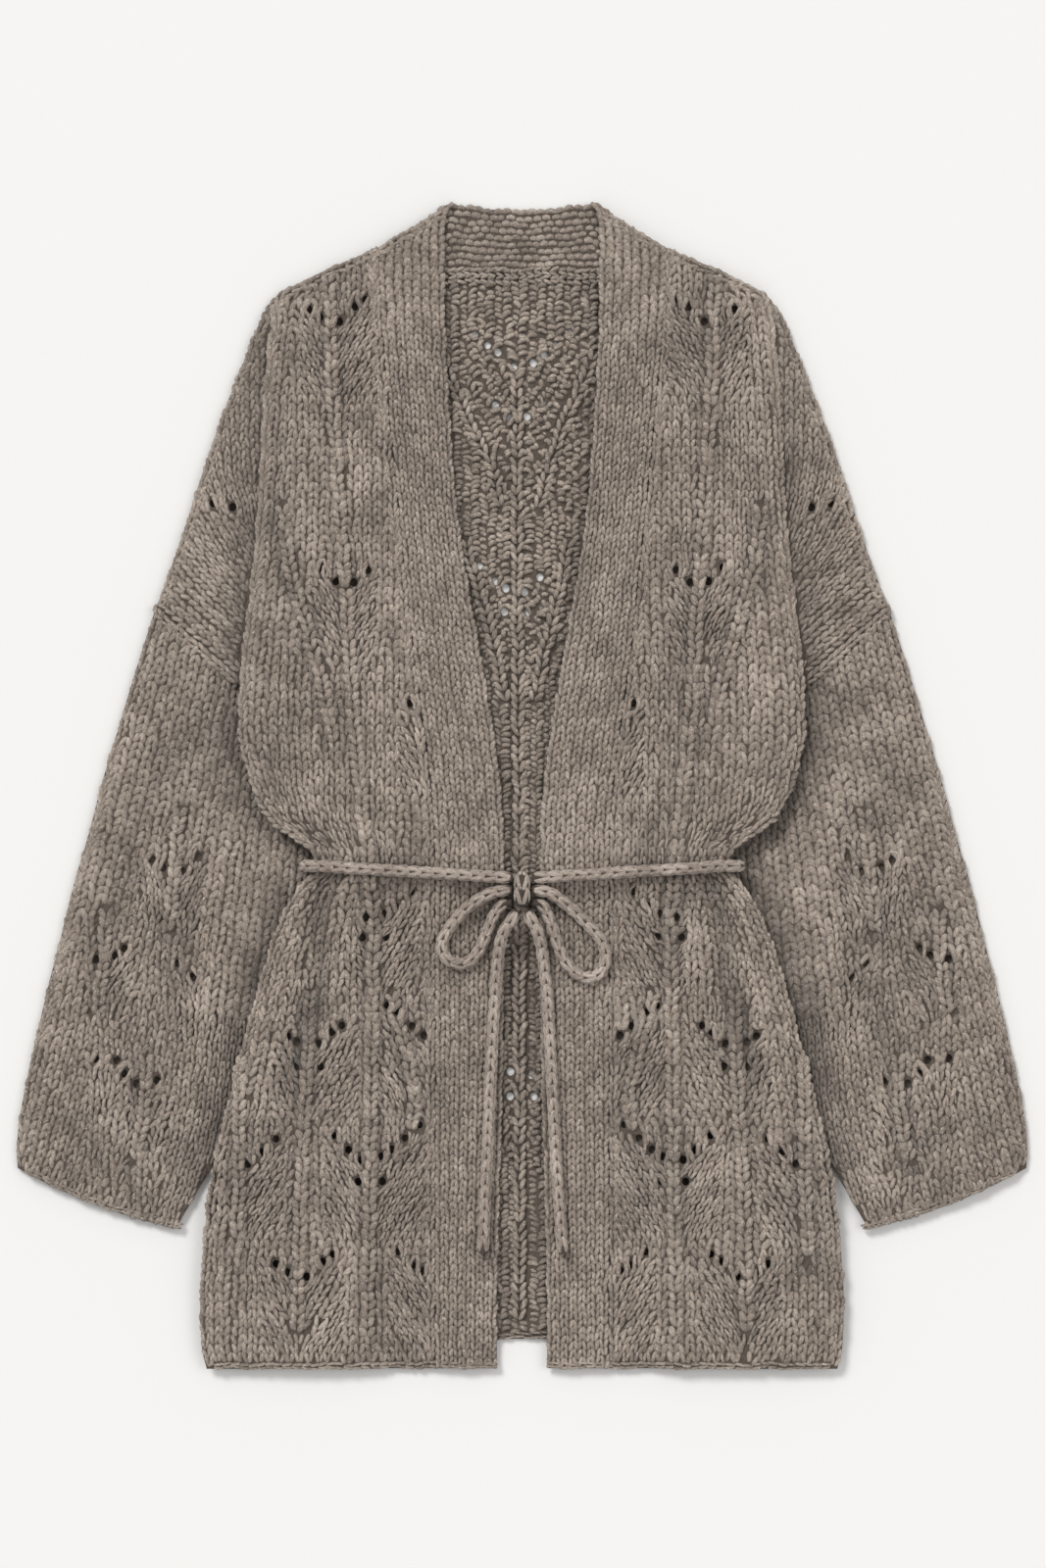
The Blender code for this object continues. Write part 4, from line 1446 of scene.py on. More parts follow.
@dataclass
class Knitting:
    """Raised stitches of one panel, laid on its surface."""

    name: str
    stitches: Stitches
    height: Callable
    side: int
    yarn: bpy.types.Material
    face: Face = Face.KNIT
    holes: np.ndarray = field(default_factory=lambda: np.zeros((0, 3)))
    seed: int = 1
    rise: float = STITCH_RISE
    limit: Callable | None = None
    fullness: float = 0.25
    unevenness: float = 1.0
    tilt: float = 0.0
    shade: Callable | None = None

    def knit_leg(self, way: float, random: np.random.Generator) -> tuple:
        """One leg of each knit stitch: out from the wale's middle line and up over the next stitch.

        Args:
            way: -1 or 1, the side of the leg.
            random: Source of the unevenness.

        Returns:
            Distances out and up at the stations, one leg a row.
        """
        count = len(self.stitches.across)
        spread = random.normal(1.0, 0.1 * self.unevenness, (count, 1))
        half = self.stitches.pitch[:, None] * 0.5 - 1.0
        out = way * (0.5 + half * KNIT_STATIONS[None, :] ** 0.85 * spread)
        out = out + random.normal(0.0, 0.2 * self.unevenness, (count, 1))
        up = (-0.3 + 1.42 * KNIT_STATIONS[None, :]) * self.stitches.course[:, None]
        return out, up + random.normal(0.0, 0.3 * self.unevenness, (count, 1))

    def purl_leg(self, random: np.random.Generator) -> tuple:
        """The bump of each purl stitch: an arc across its wale, tilted.

        Args:
            random: Source of the unevenness.

        Returns:
            Distances out and up at the stations, one bump a row.
        """
        count = len(self.stitches.across)
        t = KNIT_STATIONS[None, :]
        out = (t - 0.5) * self.stitches.pitch[:, None] * random.normal(1.0, 0.1, (count, 1))
        out = out + random.normal(0.0, 0.25 * self.unevenness, (count, 1))
        tilt = self.tilt * random.normal(1.0, 0.8, (count, 1)) * self.stitches.way[:, None]
        up = (0.3 * np.sin(math.pi * t) + tilt * (t - 0.5)) * self.stitches.course[:, None]
        return out, up + random.normal(0.0, 0.25 * self.unevenness, (count, 1))

    def lines(self) -> tuple:
        """Centre lines of the legs of the stitches in plan.

        Returns:
            Places across and along, one leg a row, and the stitches' numbers.
        """
        s = self.stitches
        random = np.random.default_rng(self.seed)
        side_x, side_y = np.cos(s.turn)[:, None], np.sin(s.turn)[:, None]
        if self.face is Face.KNIT:
            legs = [self.knit_leg(way, random) for way in (-1.0, 1.0)]
        else:
            legs = [self.purl_leg(random)]
        x = np.concatenate([s.across[:, None] + side_x * out - side_y * up for out, up in legs])
        y = np.concatenate([s.along[:, None] + side_y * out + side_x * up for out, up in legs])
        wave = 0.3 * self.unevenness
        phase = self.seed
        drift = np.sin(0.31 * y + 0.17 * x + phase) + np.sin(0.19 * y - 0.11 * x + 2.0 * phase)
        moved = x + wave * drift
        y = y + wave * (np.sin(0.27 * x + 0.13 * y + phase) + np.sin(0.16 * x - 0.21 * y))
        if self.limit is not None:
            moved, y = self.limit(moved, y)
        return moved, y, np.tile(np.arange(len(s.across)), len(legs))

    def round_holes(self, x: np.ndarray, y: np.ndarray) -> tuple:
        """Bend the legs round the eyelets.

        Args:
            x: Places across, one leg a row.
            y: Places along.

        Returns:
            The new places and a mask of the legs that stay.
        """
        stay = np.ones(len(x), bool)
        for hole_x, hole_y, radius in self.holes:
            near = np.flatnonzero(
                (np.abs(x.mean(1) - hole_x) < 12.0) & (np.abs(y.mean(1) - hole_y) < 12.0))
            if not len(near):
                continue
            dx, dy = x[near] - hole_x, (y[near] - hole_y) / 1.15
            middle = np.hypot(dx.mean(1), dy.mean(1))
            stay[near[middle < 0.5 * radius]] = False
            distance = np.maximum(np.hypot(dx, dy), 0.3)
            clear, reach = radius * 0.9, radius * 2.6
            scale = np.where(
                distance < reach, (clear + distance * (1.0 - clear / reach)) / distance, 1.0)
            x[near] = hole_x + dx * scale
            y[near] = hole_y + dy * scale * 1.15
        return x, y, stay

    def build(self) -> bpy.types.Object:
        """Make the stitches as one mesh of half-round legs.

        Returns:
            The piece.
        """
        x, y, owner = self.lines()
        x, y, stay = self.round_holes(x, y)
        x, y, owner = x[stay], y[stay], owner[stay]
        z, normal = self.surface(x, y)
        random = np.random.default_rng(self.seed + 7)
        count = len(x)
        run = unit(np.stack([np.gradient(axis_points, axis=1) for axis_points in (x, y, z)], -1))
        sideways = unit(np.cross(run, normal))
        if self.face is Face.KNIT:
            half = self.fullness * self.stitches.pitch[owner]
        else:
            half = 0.46 * self.stitches.course[owner]
        half = half * random.uniform(0.86, 1.14, count)
        rise = self.rise * random.uniform(0.76, 1.18, count)
        widths = half[:, None] * KNIT_WIDTHS[None, :]
        rises = rise[:, None] * KNIT_RISES[None, :]
        lift = self.stitches.lift[owner][:, None]
        points = half_round(np.stack([x, y, z], -1), sideways, normal, widths, rises, lift, 0.12)
        points[:, 0] *= self.side
        points[:, 2] = np.maximum(points[:, 2], ABOVE_FLOOR)
        tones = random.uniform(0.02, 0.98, count)
        piece = legs_piece(self.name, points, self.yarn, self.side < 0, tones, widths, random)
        if self.shade is not None:
            store(piece, "shade", np.repeat(self.shade(x.mean(1), y.mean(1)), LEG_POINTS))
        return piece

    def surface(self, x: np.ndarray, y: np.ndarray) -> tuple:
        """Height and normal of the panel under points.

        Args:
            x: Places across.
            y: Places along.

        Returns:
            The heights and the unit normals.
        """
        z = self.height(x, y)
        reach = 0.6
        steepest = 2.2
        slope_x = (self.height(x + reach, y) - self.height(x - reach, y)) / (2.0 * reach)
        slope_y = (self.height(x, y + reach) - self.height(x, y - reach)) / (2.0 * reach)
        slope_x, slope_y = (np.clip(slope, -steepest, steepest) for slope in (slope_x, slope_y))
        return z, unit(np.stack([-slope_x, -slope_y, np.ones(z.shape)], -1))


# Cords


def spline_points(route: list, spacing: float) -> np.ndarray:
    """Evenly spaced points on a smooth curve through the route's own points.

    Args:
        route: The points.
        spacing: Distance between the new points.

    Returns:
        The new points, one a row.
    """
    dense = []
    last = len(route) - 1
    for i in range(last):
        a, b, c, d = (np.array(route[min(max(k, 0), last)]) for k in (i - 1, i, i + 1, i + 2))
        for step in range(24):
            t = step / 24.0
            dense.append(0.5 * (2 * b + (c - a) * t + (2 * a - 5 * b + 4 * c - d) * t * t
                                + (3 * b - a - 3 * c + d) * t ** 3))
    dense.append(np.array(route[-1]))
    dense = np.array(dense)
    walked = np.concatenate([[0.0], np.cumsum(np.linalg.norm(np.diff(dense, axis=0), axis=1))])
    count = max(2, round(walked[-1] / spacing))
    at = np.linspace(0.0, walked[-1], count + 1)
    return np.stack([np.interp(at, walked, dense[:, axis]) for axis in range(3)], -1)


@dataclass
class KnittedCord:
    """Round knitted cord: a core and three wales of slanted stitches round it."""

    name: str
    route: tuple
    far_end: str
    lay: str
    core: bpy.types.Material
    yarn: bpy.types.Material
    spacing: float = 5.0
    course: float = 9.0
    widen: float = 1.0
    seed: int = 3

    def frames(self, spacing: float) -> tuple:
        """Points along the cord with their up and side ways.

        Args:
            spacing: Distance between the points.

        Returns:
            Points, ups and sides.
        """
        points = spline_points(list(self.route), spacing)
        tangents = unit(np.gradient(points, axis=0))
        up = np.array([0.0, 0.0, 1.0])
        ups = []
        for tangent in tangents:
            up = up - tangent * up.dot(tangent)
            up /= np.linalg.norm(up)
            ups.append(up)
        ups = np.array(ups)
        return points, ups, np.cross(tangents, ups)

    def length(self) -> float:
        """Length of the cord's centre line."""
        points = spline_points(list(self.route), 2.0)
        return float(np.linalg.norm(np.diff(points, axis=0), axis=1).sum())

    def build_core(self) -> bpy.types.Object:
        """Make the core as a curve of one open spline.

        Returns:
            The piece.
        """
        curve = bpy.data.curves.new(self.name, "CURVE")
        curve.dimensions = "3D"
        curve.bevel_depth = (CORD_RADIUS - 1.0) * MILLIMETRE
        curve.bevel_resolution = 3
        curve.use_fill_caps = True
        points = spline_points(list(self.route), self.spacing)
        spline = curve.splines.new("POLY")
        spline.points.add(len(points) - 1)
        for slot, point in zip(spline.points, points):
            slot.co = (*(float(c) * MILLIMETRE for c in point), 1.0)
        curve.materials.append(self.core)
        piece = bpy.data.objects.new(self.name + "_core", curve)
        bpy.context.collection.objects.link(piece)
        return piece

    def build_stitches(self) -> bpy.types.Object:
        """Make the slanted stitches round the core.

        Returns:
            The piece.
        """
        points, ups, sides = self.frames(1.0)
        random = np.random.default_rng(self.seed)
        total = len(points) - 1
        rows, tones, half_widths = [], [], []
        for wale in (0.0, math.tau / 3.0, 2.0 * math.tau / 3.0):
            for way in (-1.0, 1.0):
                starts = np.arange(0.4, self.length() - self.course, self.course)
                starts = starts + random.normal(0.0, 0.15, len(starts))
                for start in starts:
                    at = start + KNIT_STATIONS * self.course * 1.45
                    at = np.clip(at * total / self.length(), 0.0, total)
                    angle = wale + way * (0.12 + KNIT_STATIONS ** 0.9 * 0.88)
                    rows.append((at, angle))
                    tones.append(random.uniform(0.1, 1.0))
                    half_widths.append(1.8 * random.uniform(0.88, 1.12))
        count = len(rows)
        at, angle = (np.array(values) for values in zip(*rows))

        def sampled(values: np.ndarray) -> np.ndarray:
            """Vectors of the cord's frames at the stitches' stations."""
            grid = np.arange(total + 1)
            return np.stack([np.interp(at, grid, values[:, axis]) for axis in range(3)], -1)

        centre, up, side = (sampled(values) for values in (points, ups, sides))
        out = up * np.cos(angle)[..., None] + side * np.sin(angle)[..., None] * self.widen
        line = centre + out * (CORD_RADIUS - 1.15)
        out = unit(out)
        across = unit(np.cross(unit(np.gradient(line, axis=1)), out))
        widths = np.array(half_widths)[:, None] * KNIT_WIDTHS[None, :]
        rises = np.tile(1.55 * KNIT_RISES, (count, 1))
        made = half_round(line, across, out, widths, rises)
        return legs_piece(self.name + "_stitches", made, self.yarn, False, np.array(tones),
                          widths, random)

    def build(self, extra: tuple = ()) -> list:
        """Args:
            extra: Further pieces that go with it; not used.

        Returns:
            The cord's pieces.
        """
        core = finished(self.build_core(), (self.name,))
        stitches = finished(self.build_stitches())
        self.length() * MILLIMETRE
        return [core, stitches]


@dataclass
class Belt:
    """The cord belt: its run round the waist, the tight turn, two loops and two tails."""

    OVER_FRONT = (14.0, 30.0, 50.0, 75.0, 100.0, 125.0)
    UNDER_BACK = (134.0, 115.0, 92.0, 60.0, 30.0)
    TIED_AT = -65.2
    CORE_SHARE = 0.46
    TURN_RADII = (9.9, 3.6)

    core: bpy.types.Material
    yarn: bpy.types.Material

    @staticmethod
    def waist_route() -> list:
        """Run from the knot over one front, round and under the back, and to the knot.

        Returns:
            Points of the cord's centre.
        """
        half = []
        for across in Belt.OVER_FRONT:
            along = BELT_LINE - BELT_SAG * (1.0 - across / BELT_TURN_AT)
            top = float(front_high(across, along))
            if across < float(band_seam(along)) + 2.0:
                top += BAND_EXTRA
            half.append((across, along, top + CORD_RADIUS + CORD_CLEARANCE))
        low = float(belt_rest(BELT_TURN_AT))
        half.append((BELT_TURN_AT - 6.0, BELT_LINE, low + 2.0 * BELT_TURN_RADIUS - 0.1))
        for turn in (1, 3, 5, 7):
            angle = math.pi * turn / 8.0
            half.append((BELT_TURN_AT + BELT_TURN_RADIUS * math.sin(angle), BELT_LINE,
                         low + BELT_TURN_RADIUS * (1.0 + math.cos(angle))))
        for across in Belt.UNDER_BACK:
            half.append((across, BELT_LINE, float(belt_rest(across))))
        half.insert(0, (KNOT_SIZE[0] / 2.0 + SEAM_GAP, Belt.TIED_AT, half[0][2] + 0.3))
        return [(-x, y, z) for x, y, z in half] + list(reversed(half))

    def build_knot(self) -> list:
        """Make the tight turn of cord that ties the bow.

        Returns:
            Its core and its stitches.
        """
        x, y, z = KNOT_CENTRE
        deselect_all()
        bpy.ops.mesh.primitive_uv_sphere_add(
            segments=24, ring_count=16, radius=1.0, location=tuple(c * MILLIMETRE for c in KNOT_CENTRE))
        core = bpy.context.object
        core.name = "belt_knot_core"
        core.scale = tuple(self.CORE_SHARE * size * MILLIMETRE for size in KNOT_SIZE)
        bpy.ops.object.transform_apply(location=True, rotation=True, scale=True)
        bpy.ops.object.shade_smooth()
        core.data.materials.append(self.core)
        finished(core, ("belt_knot",))
        ring = []
        long_radius, short_radius = self.TURN_RADII
        for step in range(13):
            angle = math.tau * step / 12.0 - math.pi / 2.0
            ring.append((x, y + long_radius * math.sin(angle), z + short_radius * math.cos(angle)))
        turn = KnittedCord("belt_knot", tuple(ring), "object", "taut", self.core, self.yarn,
                           widen=1.5, seed=11)
        stitches = finished(turn.build_stitches())
        return [core, stitches]

    def build(self) -> None:
        """Make the whole belt."""
        knot = self.build_knot()
        waist = self.waist_route()
        KnittedCord("belt_waist", tuple(waist), "object", "taut", self.core, self.yarn, seed=4).build(
            tuple(knot))
        for name, route, far_end, seed in (
            ("belt_loop_left", LOOP_LEFT, "object", 5),
            ("belt_loop_right", LOOP_RIGHT, "object", 6),
            ("belt_tail_left", TAIL_LEFT, "bare", 7),
            ("belt_tail_right", TAIL_RIGHT, "bare", 8),
        ):
            KnittedCord(name, route, far_end, "loose", self.core, self.yarn, seed=seed).build()


# Panels


@dataclass
class Front:
    """A front with its dropped shoulder: the cloth, its stitches and its holes."""

    side: Side
    ground: bpy.types.Material
    yarn: bpy.types.Material
    drape: Drape = None

    def __post_init__(self) -> None:
        """Choose this side's drape."""
        self.drape = Drape(BODY_CREASES, self.side.seed(21))

    @staticmethod
    def hem_share(along: Numbers) -> Numbers:
        """How full the cloth is near its hem: less at the very edge."""
        return mix(HEM_SHARE, 1.0, np.sqrt(ramp(0.0, EDGE_ROUNDING, along - FRONT_HEM)))

    def body_height(self, across: Numbers, along: Numbers) -> Numbers:
        """Height of the ground of the body part, rounded over at the fold.

        Args:
            across: Distances from the centre line.
            along: Places along the garment.

        Returns:
            The heights.
        """
        edge = body_edge(along)
        inner = np.minimum(across, edge - 5.0)
        low = front_low(across, along)
        high = front_high(inner, along) + self.drape(across, along) * ramp(edge, edge - 12.0, across)
        share = np.clip((across - edge + 12.0) / 12.4, 0.0, 1.0)
        drop = 1.0 - np.sqrt(1.0 - share ** 2)
        foot = mix(mix(low, high, 0.45), cap_low(across, along) + WALL, cap_share(along))
        high = np.maximum(mix(high, foot, drop), low + SKIN + 0.4)
        return low + (high - low) * self.hem_share(along) - SKIN

    def cap_height(self, across: Numbers, along: Numbers) -> Numbers:
        """Height of the ground of the dropped shoulder past the fold.

        Args:
            across: Distances from the centre line.
            along: Places along the garment.

        Returns:
            The heights.
        """
        outer = cap_edge(along)
        rounding = np.where(along >= CAP_CORNER, ramp(0.0, EDGE_ROUNDING, outer - across), 1.0)
        top = cap_low(across, along) + mix(EDGE_THICKNESS, WALL, np.sqrt(rounding))
        return top + 0.6 * self.drape(across, along) * ramp(0.0, 14.0, outer - across) - SKIN

    def grids(self) -> tuple:
        """Upper and lower points of the cloth.

        Returns:
            Two grids, rows by columns by three.
        """
        levels = np.concatenate([
            [TIP_LEVEL, 349.0, 346.0], np.linspace(342.0, -20.0, 74), np.linspace(-24.0, -110.0, 30),
            np.linspace(-115.0, -408.0, 58), [-411.5, -413.6, -414.8, FRONT_HEM]])
        high_rows, low_rows = [], []
        for level in levels:
            start = float(band_seam(place(NEAR_SEAM, level))) + SEAM_GAP
            edge = float(body_edge(level))
            is_cap = float(cap_share(level))
            corner = level >= CAP_CORNER
            outer = max(float(cap_edge(level)) - (0.0 if corner else SEAM_GAP), edge)
            cap = outer - edge if level > CAP_FOOT else 0.0
            flat = mix(start, edge - FOLD_TURN, np.linspace(0.0, 1.0, 28))
            turn = edge - FOLD_TURN + np.array([2.5, 5.0, 7.2, 9.2, 10.8, FOLD_TURN])
            across = np.concatenate([flat, turn])
            tucked = mix(edge - FOLD_TURN, edge - 5.0, np.linspace(1, 6, 6) / 6.0)
            under = np.concatenate([flat, mix(tucked, turn, is_cap)])
            at = place(np.minimum(across, TIP_WIDTH), np.full(len(across), level))
            at = np.where(across < TIP_WIDTH, at, level)
            under_at = np.where(under < TIP_WIDTH, place(np.minimum(under, TIP_WIDTH), level), level)
            high = self.body_height(across, at)
            low = front_low(under, under_at)
            low = np.where(is_cap > 0.0, mix(low, cap_low(under, np.full(len(under), level)),
                                             is_cap * ramp(edge - 30.0, edge, under)), low)
            shares = np.array([0.04, 0.12, 0.25, 0.4, 0.55, 0.7, 0.82, 0.9, 0.96, 1.0])
            side_across = edge + cap * shares
            side_under = mix(edge - 4.6 + 2.0 * shares, side_across, is_cap)
            level_row = np.full(len(shares), level)
            side_low = mix(float(front_low(edge, level)), cap_low(side_under, level_row), is_cap)
            cap_top = self.cap_height(side_across, level_row)
            side = mix(high[-1], low[-1] + 0.3, shares)
            side_high = mix(side, cap_top, is_cap)
            curl = -1.2 * shares * shares * (1.0 - is_cap)
            low_all = np.concatenate([low, side_low])
            high_all = np.concatenate([high, side_high])
            if level >= TIP_LEVEL:
                low_all = np.full(len(low_all), WALL + SEAM_GAP)
            rounding = math.sqrt(float(ramp(0.0, EDGE_ROUNDING, TIP_LEVEL - level)))
            high_all = low_all + (high_all - low_all) * mix(HEM_SHARE, 1.0, rounding)
            high_all = np.maximum(high_all, low_all + 0.25)
            xs = np.concatenate([across, side_across + curl])
            us = np.concatenate([under, side_under])
            ys = np.concatenate([at, level_row])
            vs = np.concatenate([under_at, level_row])
            high_rows.append(np.stack([self.side.value * xs, ys, high_all], -1))
            low_rows.append(np.stack([self.side.value * us, vs, low_all], -1))
        return np.array(high_rows), np.array(low_rows)

    def shade(self, across: np.ndarray, along: np.ndarray) -> np.ndarray:
        """Painted shade and light of the body part: its creases, the grooves beside its chains, and a
        painted shadow along the belt.
        """
        fold = fold_shade(self.drape(across, along))
        fold = fold + groove_shade(FRONT_ROPES, across, along)
        # Painted shadow of the belt across the front
        return fold - 0.16 * bell(along - BELT_LINE, 9.0)

    def cap_shade(self, across: np.ndarray, along: np.ndarray) -> np.ndarray:
        """Painted shade of the dropped shoulder beside the fold, and painted shade and light of its
        creases.
        """
        return contact_shade(across - body_edge(along), 0.3) + fold_shade(self.drape(across, along))

    def lean(self, across: np.ndarray, along: np.ndarray) -> np.ndarray:
        """Lean of the wales: the lace, and half of the body's own line near its edge."""
        edge = body_edge(along)
        share = 0.45 * ramp(edge - 80.0, edge - 22.0, across)
        share = share + 0.55 * ramp(edge - 30.0, edge - 12.0, across)
        follow = -body_edge.slope(along) * share
        return lace_lean(FRONT_MOTIFS)(across, along) + np.clip(np.arctan(follow), -0.9, 0.9)

    def body_stitches(self) -> Stitches:
        """Stitches from the band's seam to the fold.

        Returns:
            The stitches.
        """

        def keep(x: np.ndarray, y: np.ndarray) -> np.ndarray:
            """Whether points are on the body part."""
            inside = (x > band_seam(y) + 0.6 * EDGE_WALE) & (x < body_edge(y) - 0.6 * EDGE_WALE)
            top = np.where(x < TIP_WIDTH, shoulder_line(x), TIP_LEVEL)
            return inside & (y < top - 1.1 * COURSE) & (y > FRONT_HEM - 0.3 * COURSE)

        wales = WaleField((0.0, BAND_TOP[1]), 0.0, (44.05, 246.0), 801.0, self.lean, keep,
                          seed=31 + self.side.value)
        stitches = wales.run()
        levels = np.linspace(350.0, FRONT_HEM + 0.8, 520)
        fold = edge_wale(body_edge(levels), levels, 0.5 * EDGE_WALE)
        seam_levels = np.linspace(383.0, FRONT_HEM + 0.8, 520)
        seam = edge_wale(band_seam(seam_levels), seam_levels, -0.5 * EDGE_WALE - 0.3)
        shoulder = np.linspace(BAND_TOP[0], TIP_WIDTH, 60)
        top = edge_wale(shoulder, shoulder_line(shoulder), 0.5 * EDGE_WALE)
        across = np.linspace(62.5, 222.0, 80)
        hem = edge_wale(across, np.full(80, FRONT_HEM), -0.5 * HEM_WALE, HEM_WALE)
        stitches = Stitches.joined([beside_chains(stitches, FRONT_ROPES), fold, seam, top, hem])
        rib, crease = hem_rib(stitches.along)
        stitches.lift = rib * np.where(stitches.lift > 0.5, 0.3, -0.35) - 0.6 * crease
        stitches.lift = stitches.lift + spine_lift(FRONT_MOTIFS, stitches.across, stitches.along)
        return Stitches.joined([stitches, chains(FRONT_ROPES, 0.9)])

    def cap_stitches(self) -> Stitches:
        """Stitches of the dropped shoulder, turning with its sleeve seam.

        Returns:
            The stitches.
        """
        (y0, x0), (y1, x1) = ARMHOLE[:2]
        length = math.hypot(x1 - x0, y1 - y0)
        seam_turn = -math.atan2(x0 - x1, y0 - y1)

        def off_seam(x: np.ndarray, y: np.ndarray) -> np.ndarray:
            """How far points are above the sleeve's seam."""
            return (x - x0) * ((y1 - y0) / length) + (y - y0) * (-(x1 - x0) / length)

        def lean(x: np.ndarray, y: np.ndarray) -> np.ndarray:
            """Lean of the wales: along the seam near it, upright at the shoulder."""
            return seam_turn * ramp(150.0, 14.0, off_seam(x, y))

        def keep(x: np.ndarray, y: np.ndarray) -> np.ndarray:
            """Whether points are on the dropped shoulder."""
            inside = (x > body_edge(y) + 0.2) & (x < cap_outline(y) - 0.6 * EDGE_WALE)
            return inside & (off_seam(x, y) > 2.6) & (y < TIP_LEVEL - 1.1 * COURSE)

        wales = WaleField((225.0, 350.0), -0.42, (-120.0, 290.0), 420.0, lean, keep, seed=41)
        stitches = wales.run()
        levels = np.linspace(349.0, CAP_CORNER + 1.0, 200)
        stitches.lift[:] = 0.0
        return Stitches.joined([stitches, edge_wale(cap_outline(levels), levels, 0.5 * EDGE_WALE)])

    @staticmethod
    def limit(x: np.ndarray, y: np.ndarray) -> tuple:
        """Keep points of the body part inside its fold, its hem and its shoulder line."""
        top = np.where(x < TIP_WIDTH, shoulder_line(x), TIP_LEVEL)
        y = np.clip(y, FRONT_HEM + 0.3, top - 0.3)
        return np.minimum(x, body_edge(y) - 0.2), y

    def seam_ridge(self) -> Stitches:
        """Chain along the seam of the dropped shoulder.

        Returns:
            The stitches.
        """
        share = np.linspace(0.0, 1.0, 30)
        return edge_wale(mix(261.0, 199.0, share), mix(124.6, 71.6, share), -0.6, 6.4, 1.3)

    def build(self) -> None:
        label = self.side.label
        high, low = self.grids()
        cloth = wall_piece("front_" + label + "_cloth", high, low, self.ground, self.side is Side.LEFT)
        holes = eyelets(FRONT_MOTIFS)
        cut_eyelets(cloth, holes, self.side.value)
        finished(cloth, ("front_" + label,))
        body = Knitting("front_" + label + "_stitches", self.body_stitches(), self.body_height,
                        self.side.value, self.yarn, holes=holes, seed=51 + self.side.value,
                        unevenness=1.3, limit=self.limit, shade=self.shade)
        shoulder = Stitches.joined([self.cap_stitches(), self.seam_ridge()])
        cap = Knitting("shoulder_" + label + "_stitches", shoulder, self.cap_height,
                       self.side.value, self.yarn, holes=holes, seed=61 + self.side.value,
                       unevenness=1.2, limit=lambda x, y: (np.minimum(x, cap_outline(y) - 0.3), y),
                       shade=self.cap_shade)
        made = [finished(knitting.build()) for knitting in (body, cap)]


